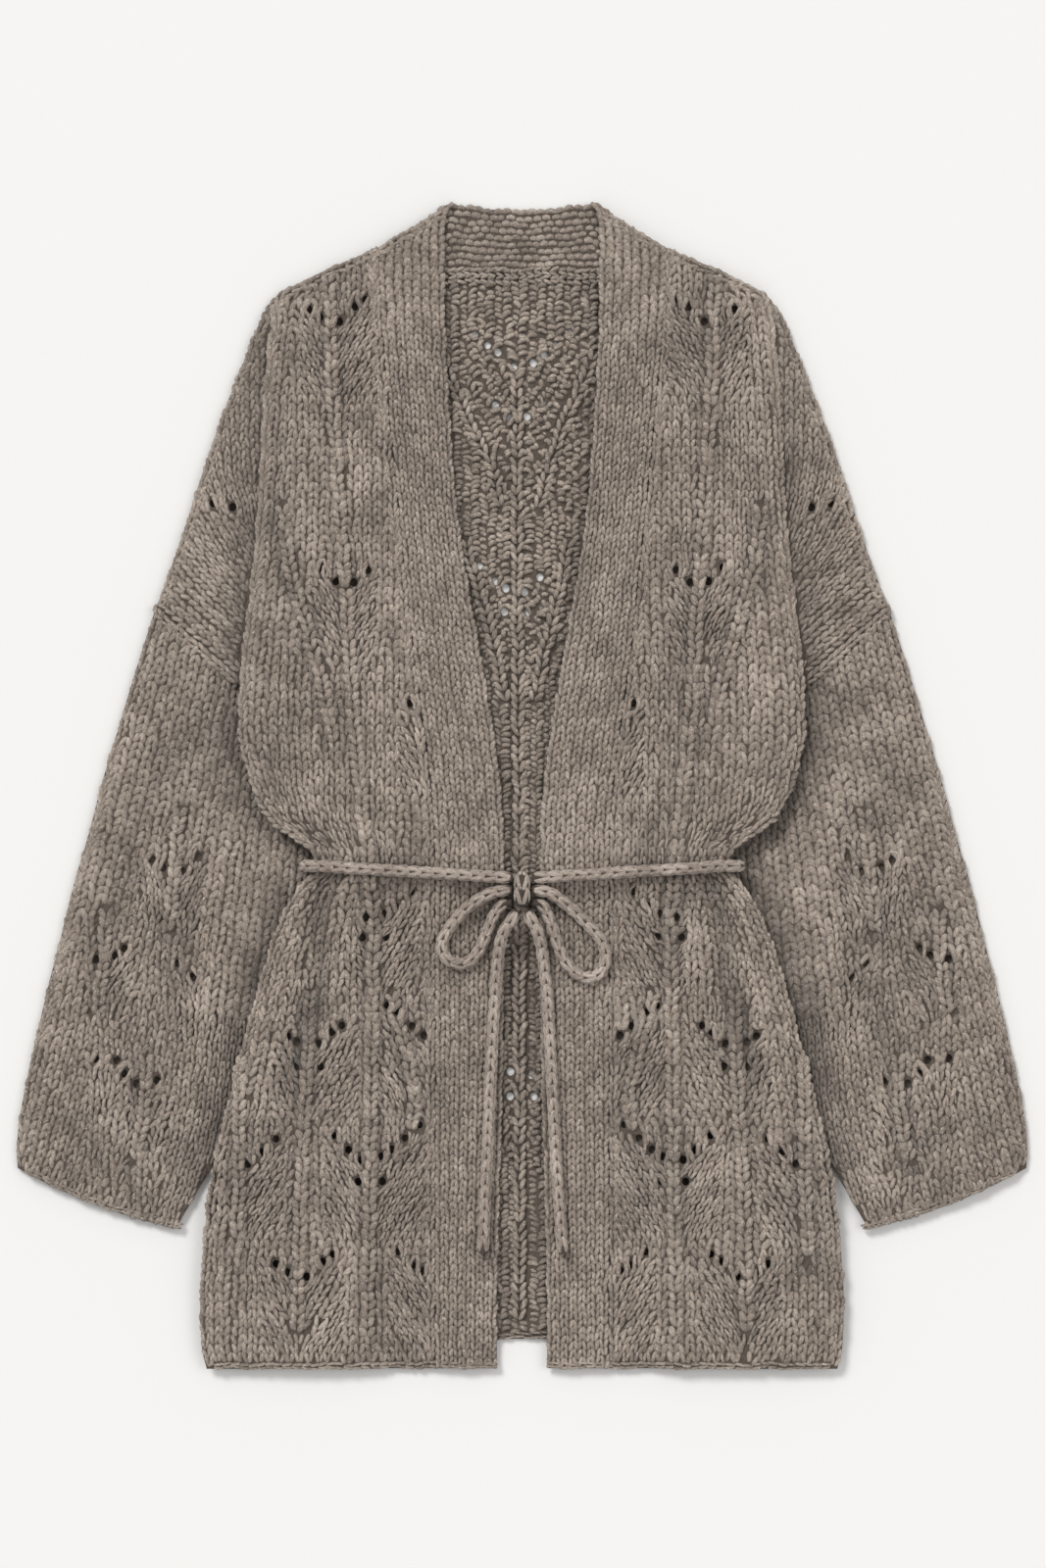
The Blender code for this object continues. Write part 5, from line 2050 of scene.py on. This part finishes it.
@dataclass
class Back:
    """The back panel, seen from inside in the neck opening and from under."""

    ground: bpy.types.Material
    yarn: bpy.types.Material

    def height(self, across: Numbers, along: Numbers) -> Numbers:
        """Height of the ground of the back's inside."""
        return back_low(np.abs(across), along) + WALL - SKIN

    def grids(self) -> tuple:
        """Upper and lower points of the cloth.

        Returns:
            Two grids, rows by columns by three.
        """
        low_share, high_share = NECK_HALF / TIP_WIDTH, NECK_SIDE_HIGH[0] / TIP_WIDTH
        shares = np.concatenate([
            np.linspace(0.0, low_share, 10), np.linspace(high_share, 0.93, 13),
            [0.955, 0.975, 0.99, 1.0]])
        columns = np.concatenate([-shares[:0:-1], shares])
        levels = np.concatenate([
            np.linspace(TIP_LEVEL, -22.0, 66), np.linspace(-27.0, -100.0, 24),
            np.linspace(-106.0, -390.0, 48), [-393.0, BACK_HEM]])
        creases = Drape(BODY_CREASES, 77, 0.4)
        high_rows, low_rows = [], []
        for level in levels:
            outer = float(cap_edge(level))
            if level < CAP_CORNER:
                outer = float(armhole(level)) - SEAM_GAP
            if level < UNDERARM:
                outer = float(body_edge(level))
            fade = float(ramp(TIP_LEVEL - SHOULDER_FADE, TIP_LEVEL, level))
            share = np.abs(columns)
            across = share * outer
            rise = shoulder_rise(share * TIP_WIDTH)
            rise = np.where(share > low_share + 0.001, rise, NECK_SEAM - TIP_LEVEL)
            rounding = np.sqrt(ramp(1.0, 0.955, share))
            low = back_low(across, np.full(len(across), level))
            lift = mix(WALL - EDGE_THICKNESS, 0.0, rounding)
            wrinkle = np.clip(-creases(across, level), 0.0, 1.3)
            x = np.sign(columns) * across
            y = level + rise * fade
            thick = WALL - SKIN
            high_rows.append(np.stack([x, y, low + thick], -1))
            low_rows.append(np.stack([x, y, low + np.minimum(lift + wrinkle, thick - 0.4)], -1))
        return np.array(high_rows), np.array(low_rows)

    def shade(self, across: np.ndarray, along: np.ndarray) -> np.ndarray:
        """Painted shade of the inside beside the bands and under the neck seam, on a level a tenth
        lighter all over.
        """
        beside = contact_shade(band_inner(np.minimum(along, NECK_SEAM)) - np.abs(across), 0.3, 9.0)
        return beside + contact_shade(NECK_SEAM - along, 0.3, 10.0) + 0.1

    def bumps(self) -> Stitches:
        """Purl bumps of the inside, where the opening shows them.

        Returns:
            The stitches.
        """

        def keep(x: np.ndarray, y: np.ndarray) -> np.ndarray:
            """Whether points are in the opening between the bands."""
            half = band_inner(np.minimum(y, NECK_SEAM)) + 5.0
            return (np.abs(x) < half) & (y < NECK_SEAM - 4.0) & (y > BACK_HEM + 2.8)

        wales = WaleField((0.0, 362.0), 0.0, (-66.4, 67.0), 760.0, lace_lean(BACK_MOTIFS), keep,
                          seed=71, pitch=6.2, course=4.0)
        stitches = beside_chains(wales.run(), BACK_ROPES)
        is_odd = stitches.lift > 0.5
        stitches.along = stitches.along + np.where(is_odd, 0.5 * stitches.course, 0.0)
        loose = np.random.default_rng(79).normal(0.0, 0.5, len(stitches.lift))
        stitches.lift = np.where(is_odd, 0.7, -0.5) + loose
        stitches.way = np.where(is_odd, 1.0, -1.0)
        return stitches

    def ropes(self) -> Stitches:
        """Chains that stand up from the bumps: the spine and the outlines of the leaves.

        Returns:
            The stitches.
        """
        across = np.linspace(-20.0, 20.0, 20)
        hem = edge_wale(across, np.full(20, BACK_HEM), -0.5 * HEM_WALE, HEM_WALE, 0.3)
        return Stitches.joined([chains(BACK_ROPES, 1.6), hem])

    def build(self) -> None:
        high, low = self.grids()
        cloth = wall_piece("back_cloth", high, low, self.ground, False)
        holes = eyelets(BACK_MOTIFS)
        cut_eyelets(cloth, holes, 1)
        finished(cloth, ("back",))
        bumps = Knitting("back_bumps", self.bumps(), self.height, 1, self.yarn, Face.PURL,
                         holes, seed=72, rise=2.5, unevenness=1.7, tilt=0.55, shade=self.shade)
        ropes = Knitting("back_ropes", self.ropes(), self.height, 1, self.yarn, Face.KNIT,
                         holes, seed=73, rise=2.9, unevenness=1.4, fullness=0.2, shade=self.shade)
        made = [finished(knitting.build()) for knitting in (bumps, ropes)]


@dataclass
class Sleeve:
    """A sleeve as a flat tube, with its stitches on the upper wall."""

    side: Side
    ground: bpy.types.Material
    yarn: bpy.types.Material
    drape: Drape = None

    def __post_init__(self) -> None:
        """Choose this side's drape, and read the line of the cuff."""
        self.drape = Drape(SLEEVE_CREASES, self.side.seed(81), 1.1)
        cuff = [self.point(1.0, share) for share in np.linspace(0.0, 1.0, 12)]
        self.cuff = Profile(tuple((float(a), float(b)) for a, b in cuff))

    @staticmethod
    def point(down: Numbers, inward: Numbers) -> tuple:
        """Plan position of points of the sleeve.

        Args:
            down: Share of the way down from the armhole to the cuff.
            inward: Share of the way from the outer fold to the inner line.

        Returns:
            Places across and along.
        """
        outer_level = mix(CAP_CORNER, SLEEVE_OUTER[-1][0], down)
        inner_level = mix(UNDERARM, SLEEVE_INNER[-1][0], down)
        seam_level = mix(CAP_CORNER, UNDERARM, inward)
        chord = mix(SLEEVE_OUTER[0][1], SLEEVE_INNER[0][1], inward)
        across = mix(sleeve_outer(outer_level), sleeve_inner(inner_level), inward)
        across = across + (armhole(seam_level) + SEAM_GAP - chord) * (1.0 - down)
        along = mix(outer_level, inner_level, inward)
        along = along - SEAM_GAP * (1.0 - down) - CUFF_BULGE * down * np.sin(math.pi * inward)
        return across, along

    def height(self, across: Numbers, along: Numbers) -> Numbers:
        """Height of the ground of the upper wall, rounded at the fold and the cuff.

        Args:
            across: Distances from the centre line.
            along: Places along the garment.

        Returns:
            The heights.
        """
        off = sleeve_side(along) - across
        rounding = np.sqrt(ramp(-1.0, 8.0, off))
        fold = WALL + SEAM_GAP * 0.5
        top = 2.0 * WALL + sleeve_loft(across, along)
        beside = ramp(0.0, 14.0, off)
        top = top + self.drape(across, along) * beside * ramp(-6.0, 10.0, across - body_edge(along))
        return mix(fold + 0.9, top, rounding) - SKIN

    def grids(self) -> dict:
        """Upper and lower points of both walls.

        Returns:
            For each wall its two grids.
        """
        downs = np.concatenate([np.linspace(0.0, 0.965, 62), [0.98, 0.99, 0.997, 1.0]])
        inwards = np.concatenate([
            [0.0, 0.006, 0.014, 0.026, 0.042], np.linspace(0.06, 0.97, 30), [0.985, 1.0]])
        walls = {"upper": ([], []), "lower": ([], [])}
        for down in downs:
            across, along = self.point(down, inwards)
            loft = sleeve_loft(across, along)
            loft = np.where(inwards < 0.06, mix(SEAM_GAP, loft, ramp(0.0, 0.06, inwards)), loft)
            end = 1.0 if down < 0.98 else math.sqrt(max(0.1, (1.0 - down) / 0.02))
            under = WALL + loft
            top = np.maximum(self.height(across, along), under + 0.5)
            top = under + (top - under) * mix(HEM_SHARE, 1.0, end)
            thick = mix(EDGE_THICKNESS, WALL, np.sqrt(ramp(0.0, 0.045, inwards)))
            floor = WALL - thick
            wrinkle = np.clip(-0.6 * self.drape(across, along), 0.0, 1.0) * ramp(0.0, 0.1, inwards)
            x = self.side.value * across
            walls["upper"][0].append(np.stack([x, along, top], -1))
            walls["upper"][1].append(np.stack([x, along, under], -1))
            walls["lower"][0].append(np.stack([x, along, np.full(len(x), WALL)], -1))
            walls["lower"][1].append(np.stack([x, along, floor + wrinkle * (1.0 - floor / WALL)], -1))
        return {key: (np.array(high), np.array(low)) for key, (high, low) in walls.items()}

    def lean(self, across: np.ndarray, along: np.ndarray) -> np.ndarray:
        """Lean of the wales: along the sleeve, narrowing to the cuff, with its lace."""
        share = np.clip((sleeve_outer(along) - across) / 150.0, 0.0, 1.0)
        cuff = ramp(-200.0, -290.0, along) * share
        axis = mix(0.262, 0.09, share) + 0.25 * cuff
        return axis + lace_lean(SLEEVE_MOTIFS, 42.0, 0.3)(across, along)

    def shade(self, across: np.ndarray, along: np.ndarray) -> np.ndarray:
        """Painted shade and light of the sleeve's folds and of the grooves beside its chains, painted
        shade where the body lies over it, and a little darker all over.
        """
        contact = contact_shade(across - body_edge(along), 0.4, 20.0) * ramp(-330.0, -250.0, along)
        fold = fold_shade(self.drape(across, along)) + groove_shade(SLEEVE_ROPES, across, along)
        return fold + contact - 0.03

    def limit(self, x: np.ndarray, y: np.ndarray) -> tuple:
        """Keep points inside the fold and the cuff."""
        y = np.maximum(y, self.cuff(x) + 0.3)
        return np.minimum(x, sleeve_side(y) - 0.3), y

    def stitches(self) -> Stitches:
        """Stitches of the upper wall where it shows.

        Returns:
            The stitches.
        """
        inner_line = Profile(tuple((float(a), float(b)) for b, a in [
            self.point(share, 1.0) for share in np.linspace(0.0, 1.0, 12)]))

        def keep(x: np.ndarray, y: np.ndarray) -> np.ndarray:
            """Whether points are on the part that shows."""
            levels, widths = zip(*reversed(ARMHOLE))
            seam_line = np.interp(x, widths, levels)
            beside = (x > body_edge(y) - 9.0) | (y < -280.0)
            inside = (y < seam_line - 2.6) & (x < sleeve_side(y) - 0.6 * EDGE_WALE)
            inner = x > np.where(y < UNDERARM, inner_line(y) + 1.5, 120.0)
            return beside & inside & inner & (y > self.cuff(x) - 0.3 * COURSE)

        wales = WaleField((215.0, 140.0), 0.2, (-130.0, 140.0), 520.0, self.lean, keep,
                          seed=83 + self.side.value)
        stitches = beside_chains(wales.run(), SLEEVE_ROPES)
        levels = np.linspace(CAP_CORNER - 3.0, SLEEVE_OUTER[-1][0] + 1.0, 400)
        across = np.linspace(248.0, 359.0, 80)
        stitches = Stitches.joined([
            stitches, edge_wale(sleeve_outer(levels), levels, 0.5 * EDGE_WALE),
            edge_wale(across, self.cuff(across), -0.5 * HEM_WALE, HEM_WALE)])
        off = stitches.along - self.cuff(stitches.across)
        rib = ramp(18.0, 13.0, off)
        crease = bell(off - 17.0, 2.6)
        stitches.lift = rib * np.where(stitches.lift > 0.5, 0.3, -0.3) - 0.5 * crease
        stitches.lift = stitches.lift + spine_lift(SLEEVE_MOTIFS, stitches.across, stitches.along)
        return Stitches.joined([stitches, chains(SLEEVE_ROPES, 0.9)])

    def build(self) -> None:
        label = self.side.label
        parts = self.grids()
        points, faces, under, start = [], [], [], 0
        for key in ("upper", "lower"):
            high, low = parts[key]
            made_points, made_faces = wall_arrays(high, low)
            half = len(made_points) // 2
            points.append(made_points)
            faces.append(made_faces + start)
            under.append(np.concatenate([np.zeros(half), np.ones(half)]))
            start += len(made_points)
        cloth = mesh_piece("sleeve_" + label + "_cloth", np.concatenate(points), np.concatenate(faces),
                           self.ground, self.side is Side.RIGHT)
        store(cloth, "under", np.concatenate(under))
        cut_eyelets(cloth, eyelets(SLEEVE_MOTIFS), self.side.value, WALL + 0.5 * LOFT_UNDER)
        finished(cloth, ("sleeve_" + label + "_upper", "sleeve_" + label + "_lower"))
        knitting = Knitting("sleeve_" + label + "_stitches", self.stitches(), self.height,
                            self.side.value, self.yarn, holes=eyelets(SLEEVE_MOTIFS),
                            seed=91 + self.side.value, unevenness=1.25, shade=self.shade,
                            limit=self.limit)
        made = finished(knitting.build())


@dataclass
class Band:
    """A front band from the shoulder to the hem, in seven wales."""

    side: Side
    ground: bpy.types.Material
    yarn: bpy.types.Material
    wales: int = 7
    drape: Drape = None

    def __post_init__(self) -> None:
        """Choose this side's drape."""
        self.drape = Drape((), self.side.seed(101), 0.5)

    @staticmethod
    def point(level: Numbers, share: Numbers) -> tuple:
        """Plan position of points of the band.

        Args:
            level: The row's level.
            share: Share of the way from the seam to the inner edge.

        Returns:
            Places across and along.
        """
        seam = band_seam(place(NEAR_SEAM, level))
        seam_y = place(seam, level)
        inner_y = seam_y + (NECK_POINT[1] - seam_y) * ramp(276.0, TIP_LEVEL, level)
        inner = band_inner(inner_y)
        return mix(seam, inner, share), mix(seam_y, inner_y, share)

    def height(self, across: Numbers, along: Numbers) -> Numbers:
        """Height of the ground of the band, rolled at both edges.

        Args:
            across: Distances from the centre line.
            along: Places along the garment.

        Returns:
            The heights.
        """
        inner = band_inner(along)
        share = np.clip((across - inner) / (band_seam(along) - inner), 0.0, 1.0)
        roll = np.where(share < 0.5, 1.5, 0.4) * np.abs(2.0 * share - 1.0) ** 7
        top = front_low(across, along) + WALL + BAND_EXTRA + 0.2 + self.drape(across, along) * 0.6
        return top - roll - SKIN

    def grids(self) -> tuple:
        """Upper and lower points of the cloth.

        Returns:
            Two grids, rows by columns by three.
        """
        levels = np.concatenate([
            [TIP_LEVEL, 349.5, 347.0], np.linspace(343.0, -24.0, 74), np.linspace(-28.0, -100.0, 22),
            np.linspace(-105.0, -408.0, 52), [-411.5, -413.8, FRONT_HEM]])
        shares = np.array([0.0, 0.02, 0.05, 0.1, 0.2, 0.35, 0.5, 0.65, 0.8, 0.9, 0.95, 0.98, 1.0])
        high_rows, low_rows = [], []
        for level in levels:
            across, along = self.point(level, shares)
            low = front_low(across, along)
            if level >= TIP_LEVEL:
                low = np.full(len(low), WALL + SEAM_GAP)
            edge = np.sqrt(ramp(0.0, 0.06, np.minimum(shares + 0.02, 1.0 - shares)))
            ends = float(ramp(0.0, 5.0, level - FRONT_HEM) * ramp(TIP_LEVEL, 344.0, level))
            full = np.maximum(self.height(across, along) - low, 0.5)
            high = low + full * mix(0.35, 1.0, edge) * mix(0.4, 1.0, math.sqrt(ends))
            x = self.side.value * across
            high_rows.append(np.stack([x, along, high], -1))
            low_rows.append(np.stack([x, along, low], -1))
        return np.array(high_rows), np.array(low_rows)

    @staticmethod
    def limit(x: np.ndarray, y: np.ndarray) -> tuple:
        """Keep points inside the inner edge, the hem and the shoulder's end."""
        share = np.clip((x - NECK_POINT[0]) / (BAND_TOP[0] - NECK_POINT[0]), 0.0, 1.0)
        y = np.clip(y, FRONT_HEM + 0.3, mix(NECK_POINT[1], BAND_TOP[1], share) - 0.2)
        return np.maximum(x, band_inner(y) + 0.1), y

    def stitches(self) -> Stitches:
        """Stitches of the wales, which follow the band's slope.

        Returns:
            The stitches.
        """
        levels = np.linspace(350.0, FRONT_HEM + 0.5, 500)
        parts = []
        for number in range(self.wales):
            share = (number + 0.5) / self.wales
            across, along = self.point(levels, share)
            side_across, side_along = self.point(levels, share + 1.0 / self.wales)
            walked = distances(across, along)
            at = np.arange(1.1 * BAND_COURSE + 0.3, walked[-1] + 1.5, BAND_COURSE)
            x = np.interp(at, walked, across)
            y = np.interp(at, walked, along)
            turn = np.interp(at, walked, np.arctan2(np.gradient(across), -np.gradient(along)))
            gap = np.interp(at, walked, np.hypot(side_across - across, side_along - along))
            pitch = gap * np.cos(turn)
            level = np.interp(at, walked, levels)
            rib, crease = hem_rib(level)
            lift = rib * (0.25 if number % 2 else -0.3) - 0.5 * crease
            parts.append(Stitches(x, y, turn, pitch, BAND_COURSE, lift))
        share = np.linspace(0.0, 1.0, 40)
        parts.append(edge_wale(mix(NECK_POINT[0] + 2.0, BAND_TOP[0], share),
                               mix(NECK_POINT[1] - 1.2, BAND_TOP[1], share), 0.5 * EDGE_WALE))
        hem = np.full(40, FRONT_HEM)
        parts.append(edge_wale(mix(19.5, 60.5, share), hem, -0.5 * HEM_WALE, HEM_WALE))
        return Stitches.joined(parts)

    def build(self) -> None:
        label = self.side.label
        high, low = self.grids()
        cloth = wall_piece("band_" + label + "_cloth", high, low, self.ground, self.side is Side.RIGHT)
        finished(cloth, ("band_" + label,))
        knitting = Knitting("band_" + label + "_stitches", self.stitches(), self.height,
                            self.side.value, self.yarn, seed=111 + self.side.value, limit=self.limit)
        made = finished(knitting.build())


@dataclass
class NeckBand:
    """The band behind the neck: rows of bumps, a scalloped top and a thick seam."""

    ground: bpy.types.Material
    yarn: bpy.types.Material
    rows: int = 10
    half: float = 67.0
    bumps_a_row: int = 21

    @staticmethod
    def point(share: Numbers, up: Numbers) -> tuple:
        """Plan position of points of the band.

        Args:
            share: Share of the half width from the centre, with a minus on the left.
            up: Share of the way up from the seam.

        Returns:
            Places across and along.
        """
        half = mix(NECK_HALF - SEAM_GAP, NECK_SIDE_HIGH[0] - SEAM_GAP, up)
        top = neck_top(np.abs(share))
        return half * share, mix(NECK_SEAM + SEAM_GAP, top, up)

    def height(self, across: Numbers, along: Numbers) -> Numbers:
        """Height of the ground of the band."""
        top = neck_top(np.clip(np.abs(across) / self.half, 0.0, 1.0))
        return WALL - SKIN - 0.9 * (1.0 - np.sqrt(ramp(0.0, 5.0, top - along)))

    def grids(self) -> tuple:
        """Upper and lower points of the cloth.

        Returns:
            Two grids, rows by columns by three.
        """
        ups = np.array([0.0, 0.1, 0.2, 0.3, 0.4, 0.5, 0.6, 0.7, 0.8, 0.88, 0.94, 0.98, 1.0])
        shares = np.linspace(-1.0, 1.0, 41)
        high_rows, low_rows = [], []
        for up in ups:
            x, y = self.point(shares, up)
            rounding = math.sqrt(float(ramp(1.0, 0.9, up)))
            top = mix(WALL - 1.9, WALL - SKIN, rounding)
            high_rows.append(np.stack([x, y, np.full(len(x), top)], -1))
            low_rows.append(np.stack([x, y, np.full(len(x), mix(0.9, 0.0, rounding))], -1))
        return np.array(high_rows), np.array(low_rows)

    def stitches(self) -> Stitches:
        """Bumps of the rows and of the cast-off edge.

        Returns:
            The stitches.
        """
        parts = []
        for number in range(self.rows):
            up = (number + 0.6) / self.rows
            count = self.bumps_a_row
            share = (np.arange(count) + (0.5 if number % 2 else 0.0) + 0.25) / count * 2.0 - 1.0
            share = share[np.abs(share) < 0.985]
            x, y = self.point(share, up)
            edge = 0.5 if number == self.rows - 1 else 0.0
            near = self.point(share + 0.01, up)
            turn = np.arctan2(near[1] - y, near[0] - x)
            parts.append(Stitches(x, y, turn, 6.2, 4.7, 0.1 + edge))
        return Stitches.joined(parts)

    def seam(self) -> Stitches:
        """Two chains of the thick seam under the band.

        Returns:
            The stitches.
        """
        parts = []
        for offset in (-2.0, 3.2):
            x = np.arange(-57.0, 58.0, 5.6)
            y = NECK_SEAM + offset + 0.5 * np.sin(0.11 * x)
            parts.append(Stitches(x, y, -math.pi / 2.0, 6.6, 4.2, 1.6))
        return Stitches.joined(parts)

    def build(self) -> None:
        high, low = self.grids()
        cloth = wall_piece("band_neck_cloth", high, low, self.ground, True)
        finished(cloth, ("band_neck",))
        bumps = Knitting("band_neck_bumps", self.stitches(), self.height, 1, self.yarn, Face.PURL,
                         seed=121, rise=2.1, unevenness=1.3)
        chain = Knitting("neck_seam_chain", self.seam(), self.height, 1, self.yarn, seed=122,
                         rise=2.3, fullness=0.2)
        made = [finished(knitting.build()) for knitting in (bumps, chain)]


@dataclass
class Studio:
    """Camera, pale floor and soft light."""

    sky: tuple = (1.0, 0.995, 0.985, 1.0)
    sky_strength: float = 0.56
    sun_tint: tuple = (1.0, 0.992, 0.98)
    lens: float = 100.0
    sensor: float = 36.0
    reach: float = 20.0
    floor_size: float = 14.0
    floor_level: float = -0.0004
    distance: float = 3.111
    centre: tuple = (0.0007, 0.00105)
    floor: FloorFinish = FloorFinish()

    def build_camera(self) -> None:
        """Put the camera straight above, with the neck at the top of the picture."""
        data = bpy.data.cameras.new("camera")
        data.lens = self.lens
        data.sensor_fit = "VERTICAL"
        data.sensor_height = self.sensor
        data.clip_end = self.reach
        camera = bpy.data.objects.new("camera", data)
        camera.location = (self.centre[0], self.centre[1], self.distance)
        bpy.context.collection.objects.link(camera)
        bpy.context.scene.camera = camera

    def build_light(self) -> None:
        """Light the garment from above and a little from the upper left."""
        world = bpy.data.worlds.new("studio")
        world.use_nodes = True
        background = world.node_tree.nodes["Background"]
        background.inputs["Color"].default_value = self.sky
        background.inputs["Strength"].default_value = self.sky_strength
        bpy.context.scene.world = world
        bpy.context.scene.view_settings.view_transform = "Standard"
        for name, place_at, width, power in (
            ("key", (-1.7, 2.6, 3.2), 0.32, 1.75),
            ("fill", (2.4, 0.6, 3.4), 0.6, 0.45),
        ):
            data = bpy.data.lights.new(name, "SUN")
            data.angle = width
            data.energy = power
            data.color = self.sun_tint
            lamp = bpy.data.objects.new(name, data)
            lamp.location = place_at
            lamp.rotation_euler = (-Vector(place_at)).to_track_quat("-Z", "Y").to_euler()
            bpy.context.collection.objects.link(lamp)

    def build_floor(self) -> None:
        """Lay the floor just under the garment."""
        deselect_all()
        bpy.ops.mesh.primitive_plane_add(size=self.floor_size, location=(0.0, 0.0, self.floor_level))
        floor = bpy.context.object
        floor.name = "floor"
        bpy.ops.object.transform_apply(location=True, rotation=True, scale=True)
        floor.data.materials.append(self.floor.build())
        floor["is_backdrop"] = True


WOOL_YARN = YarnFinish(
    "taupe_yarn", (0.182, 0.146, 0.118, 1.0), (0.340, 0.279, 0.232, 1.0), (0.60, 0.512, 0.436, 1.0),
    (0.84, 0.76, 0.68, 1.0))
# A copy of the taupe yarn, a little darker all through as painted shade for the back's inside.
SHADED_INNER_YARN = YarnFinish(
    "shaded_inner_yarn", (0.158, 0.125, 0.100, 1.0), (0.318, 0.260, 0.213, 1.0), (0.57, 0.483, 0.408, 1.0),
    (0.84, 0.76, 0.68, 1.0))
BELT_YARN = YarnFinish(
    "belt_yarn", (0.215, 0.168, 0.140, 1.0), (0.430, 0.352, 0.298, 1.0), (0.67, 0.575, 0.50, 1.0),
    (0.84, 0.76, 0.68, 1.0))
# The ground's deep colour is painted shade, for its top face that shows only between the stitches.
WOOL_GROUND = GroundFinish(
    "taupe_ground", (0.108, 0.086, 0.070, 1.0), (0.255, 0.210, 0.174, 1.0), (0.36, 0.306, 0.264, 1.0))
SLEEVE_GROUNDS = {
    side: GroundFinish("sleeve_ground_" + side.label, WOOL_GROUND.deep, WOOL_GROUND.main,
                       WOOL_GROUND.light, -0.32 * side.value)
    for side in Side
}
# The cord's core shows only between its stitches, so all its colours are dark as painted shade.
BELT_CORE_SHADE = GroundFinish(
    "belt_core_shade", (0.075, 0.058, 0.048, 1.0), (0.075, 0.058, 0.048, 1.0), (0.1, 0.08, 0.066, 1.0))


def corners() -> list:
    """Lowest and highest corner of what shows, as plain lists."""
    return [[float(c) for c in corner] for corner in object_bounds()]


def main() -> None:
    """Build the cardigan round the frame, piece by piece."""
    logging.basicConfig(level=logging.INFO, format="%(name)s %(message)s")
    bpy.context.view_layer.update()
    studio = Studio()
    studio.build_camera()
    Belt(BELT_CORE_SHADE.build(), BELT_YARN.build()).build()
    ground, yarn = WOOL_GROUND.build(), WOOL_YARN.build()
    Back(ground, SHADED_INNER_YARN.build()).build()
    for side in Side:
        Front(side, ground, yarn).build()
        Sleeve(side, SLEEVE_GROUNDS[side].build(), yarn).build()
        Band(side, ground, yarn).build()
    NeckBand(ground, yarn).build()
    studio.build_light()
    studio.build_floor()
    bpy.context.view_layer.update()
    LOG.info("size after %s", corners())


if __name__ == "__main__":
    main()
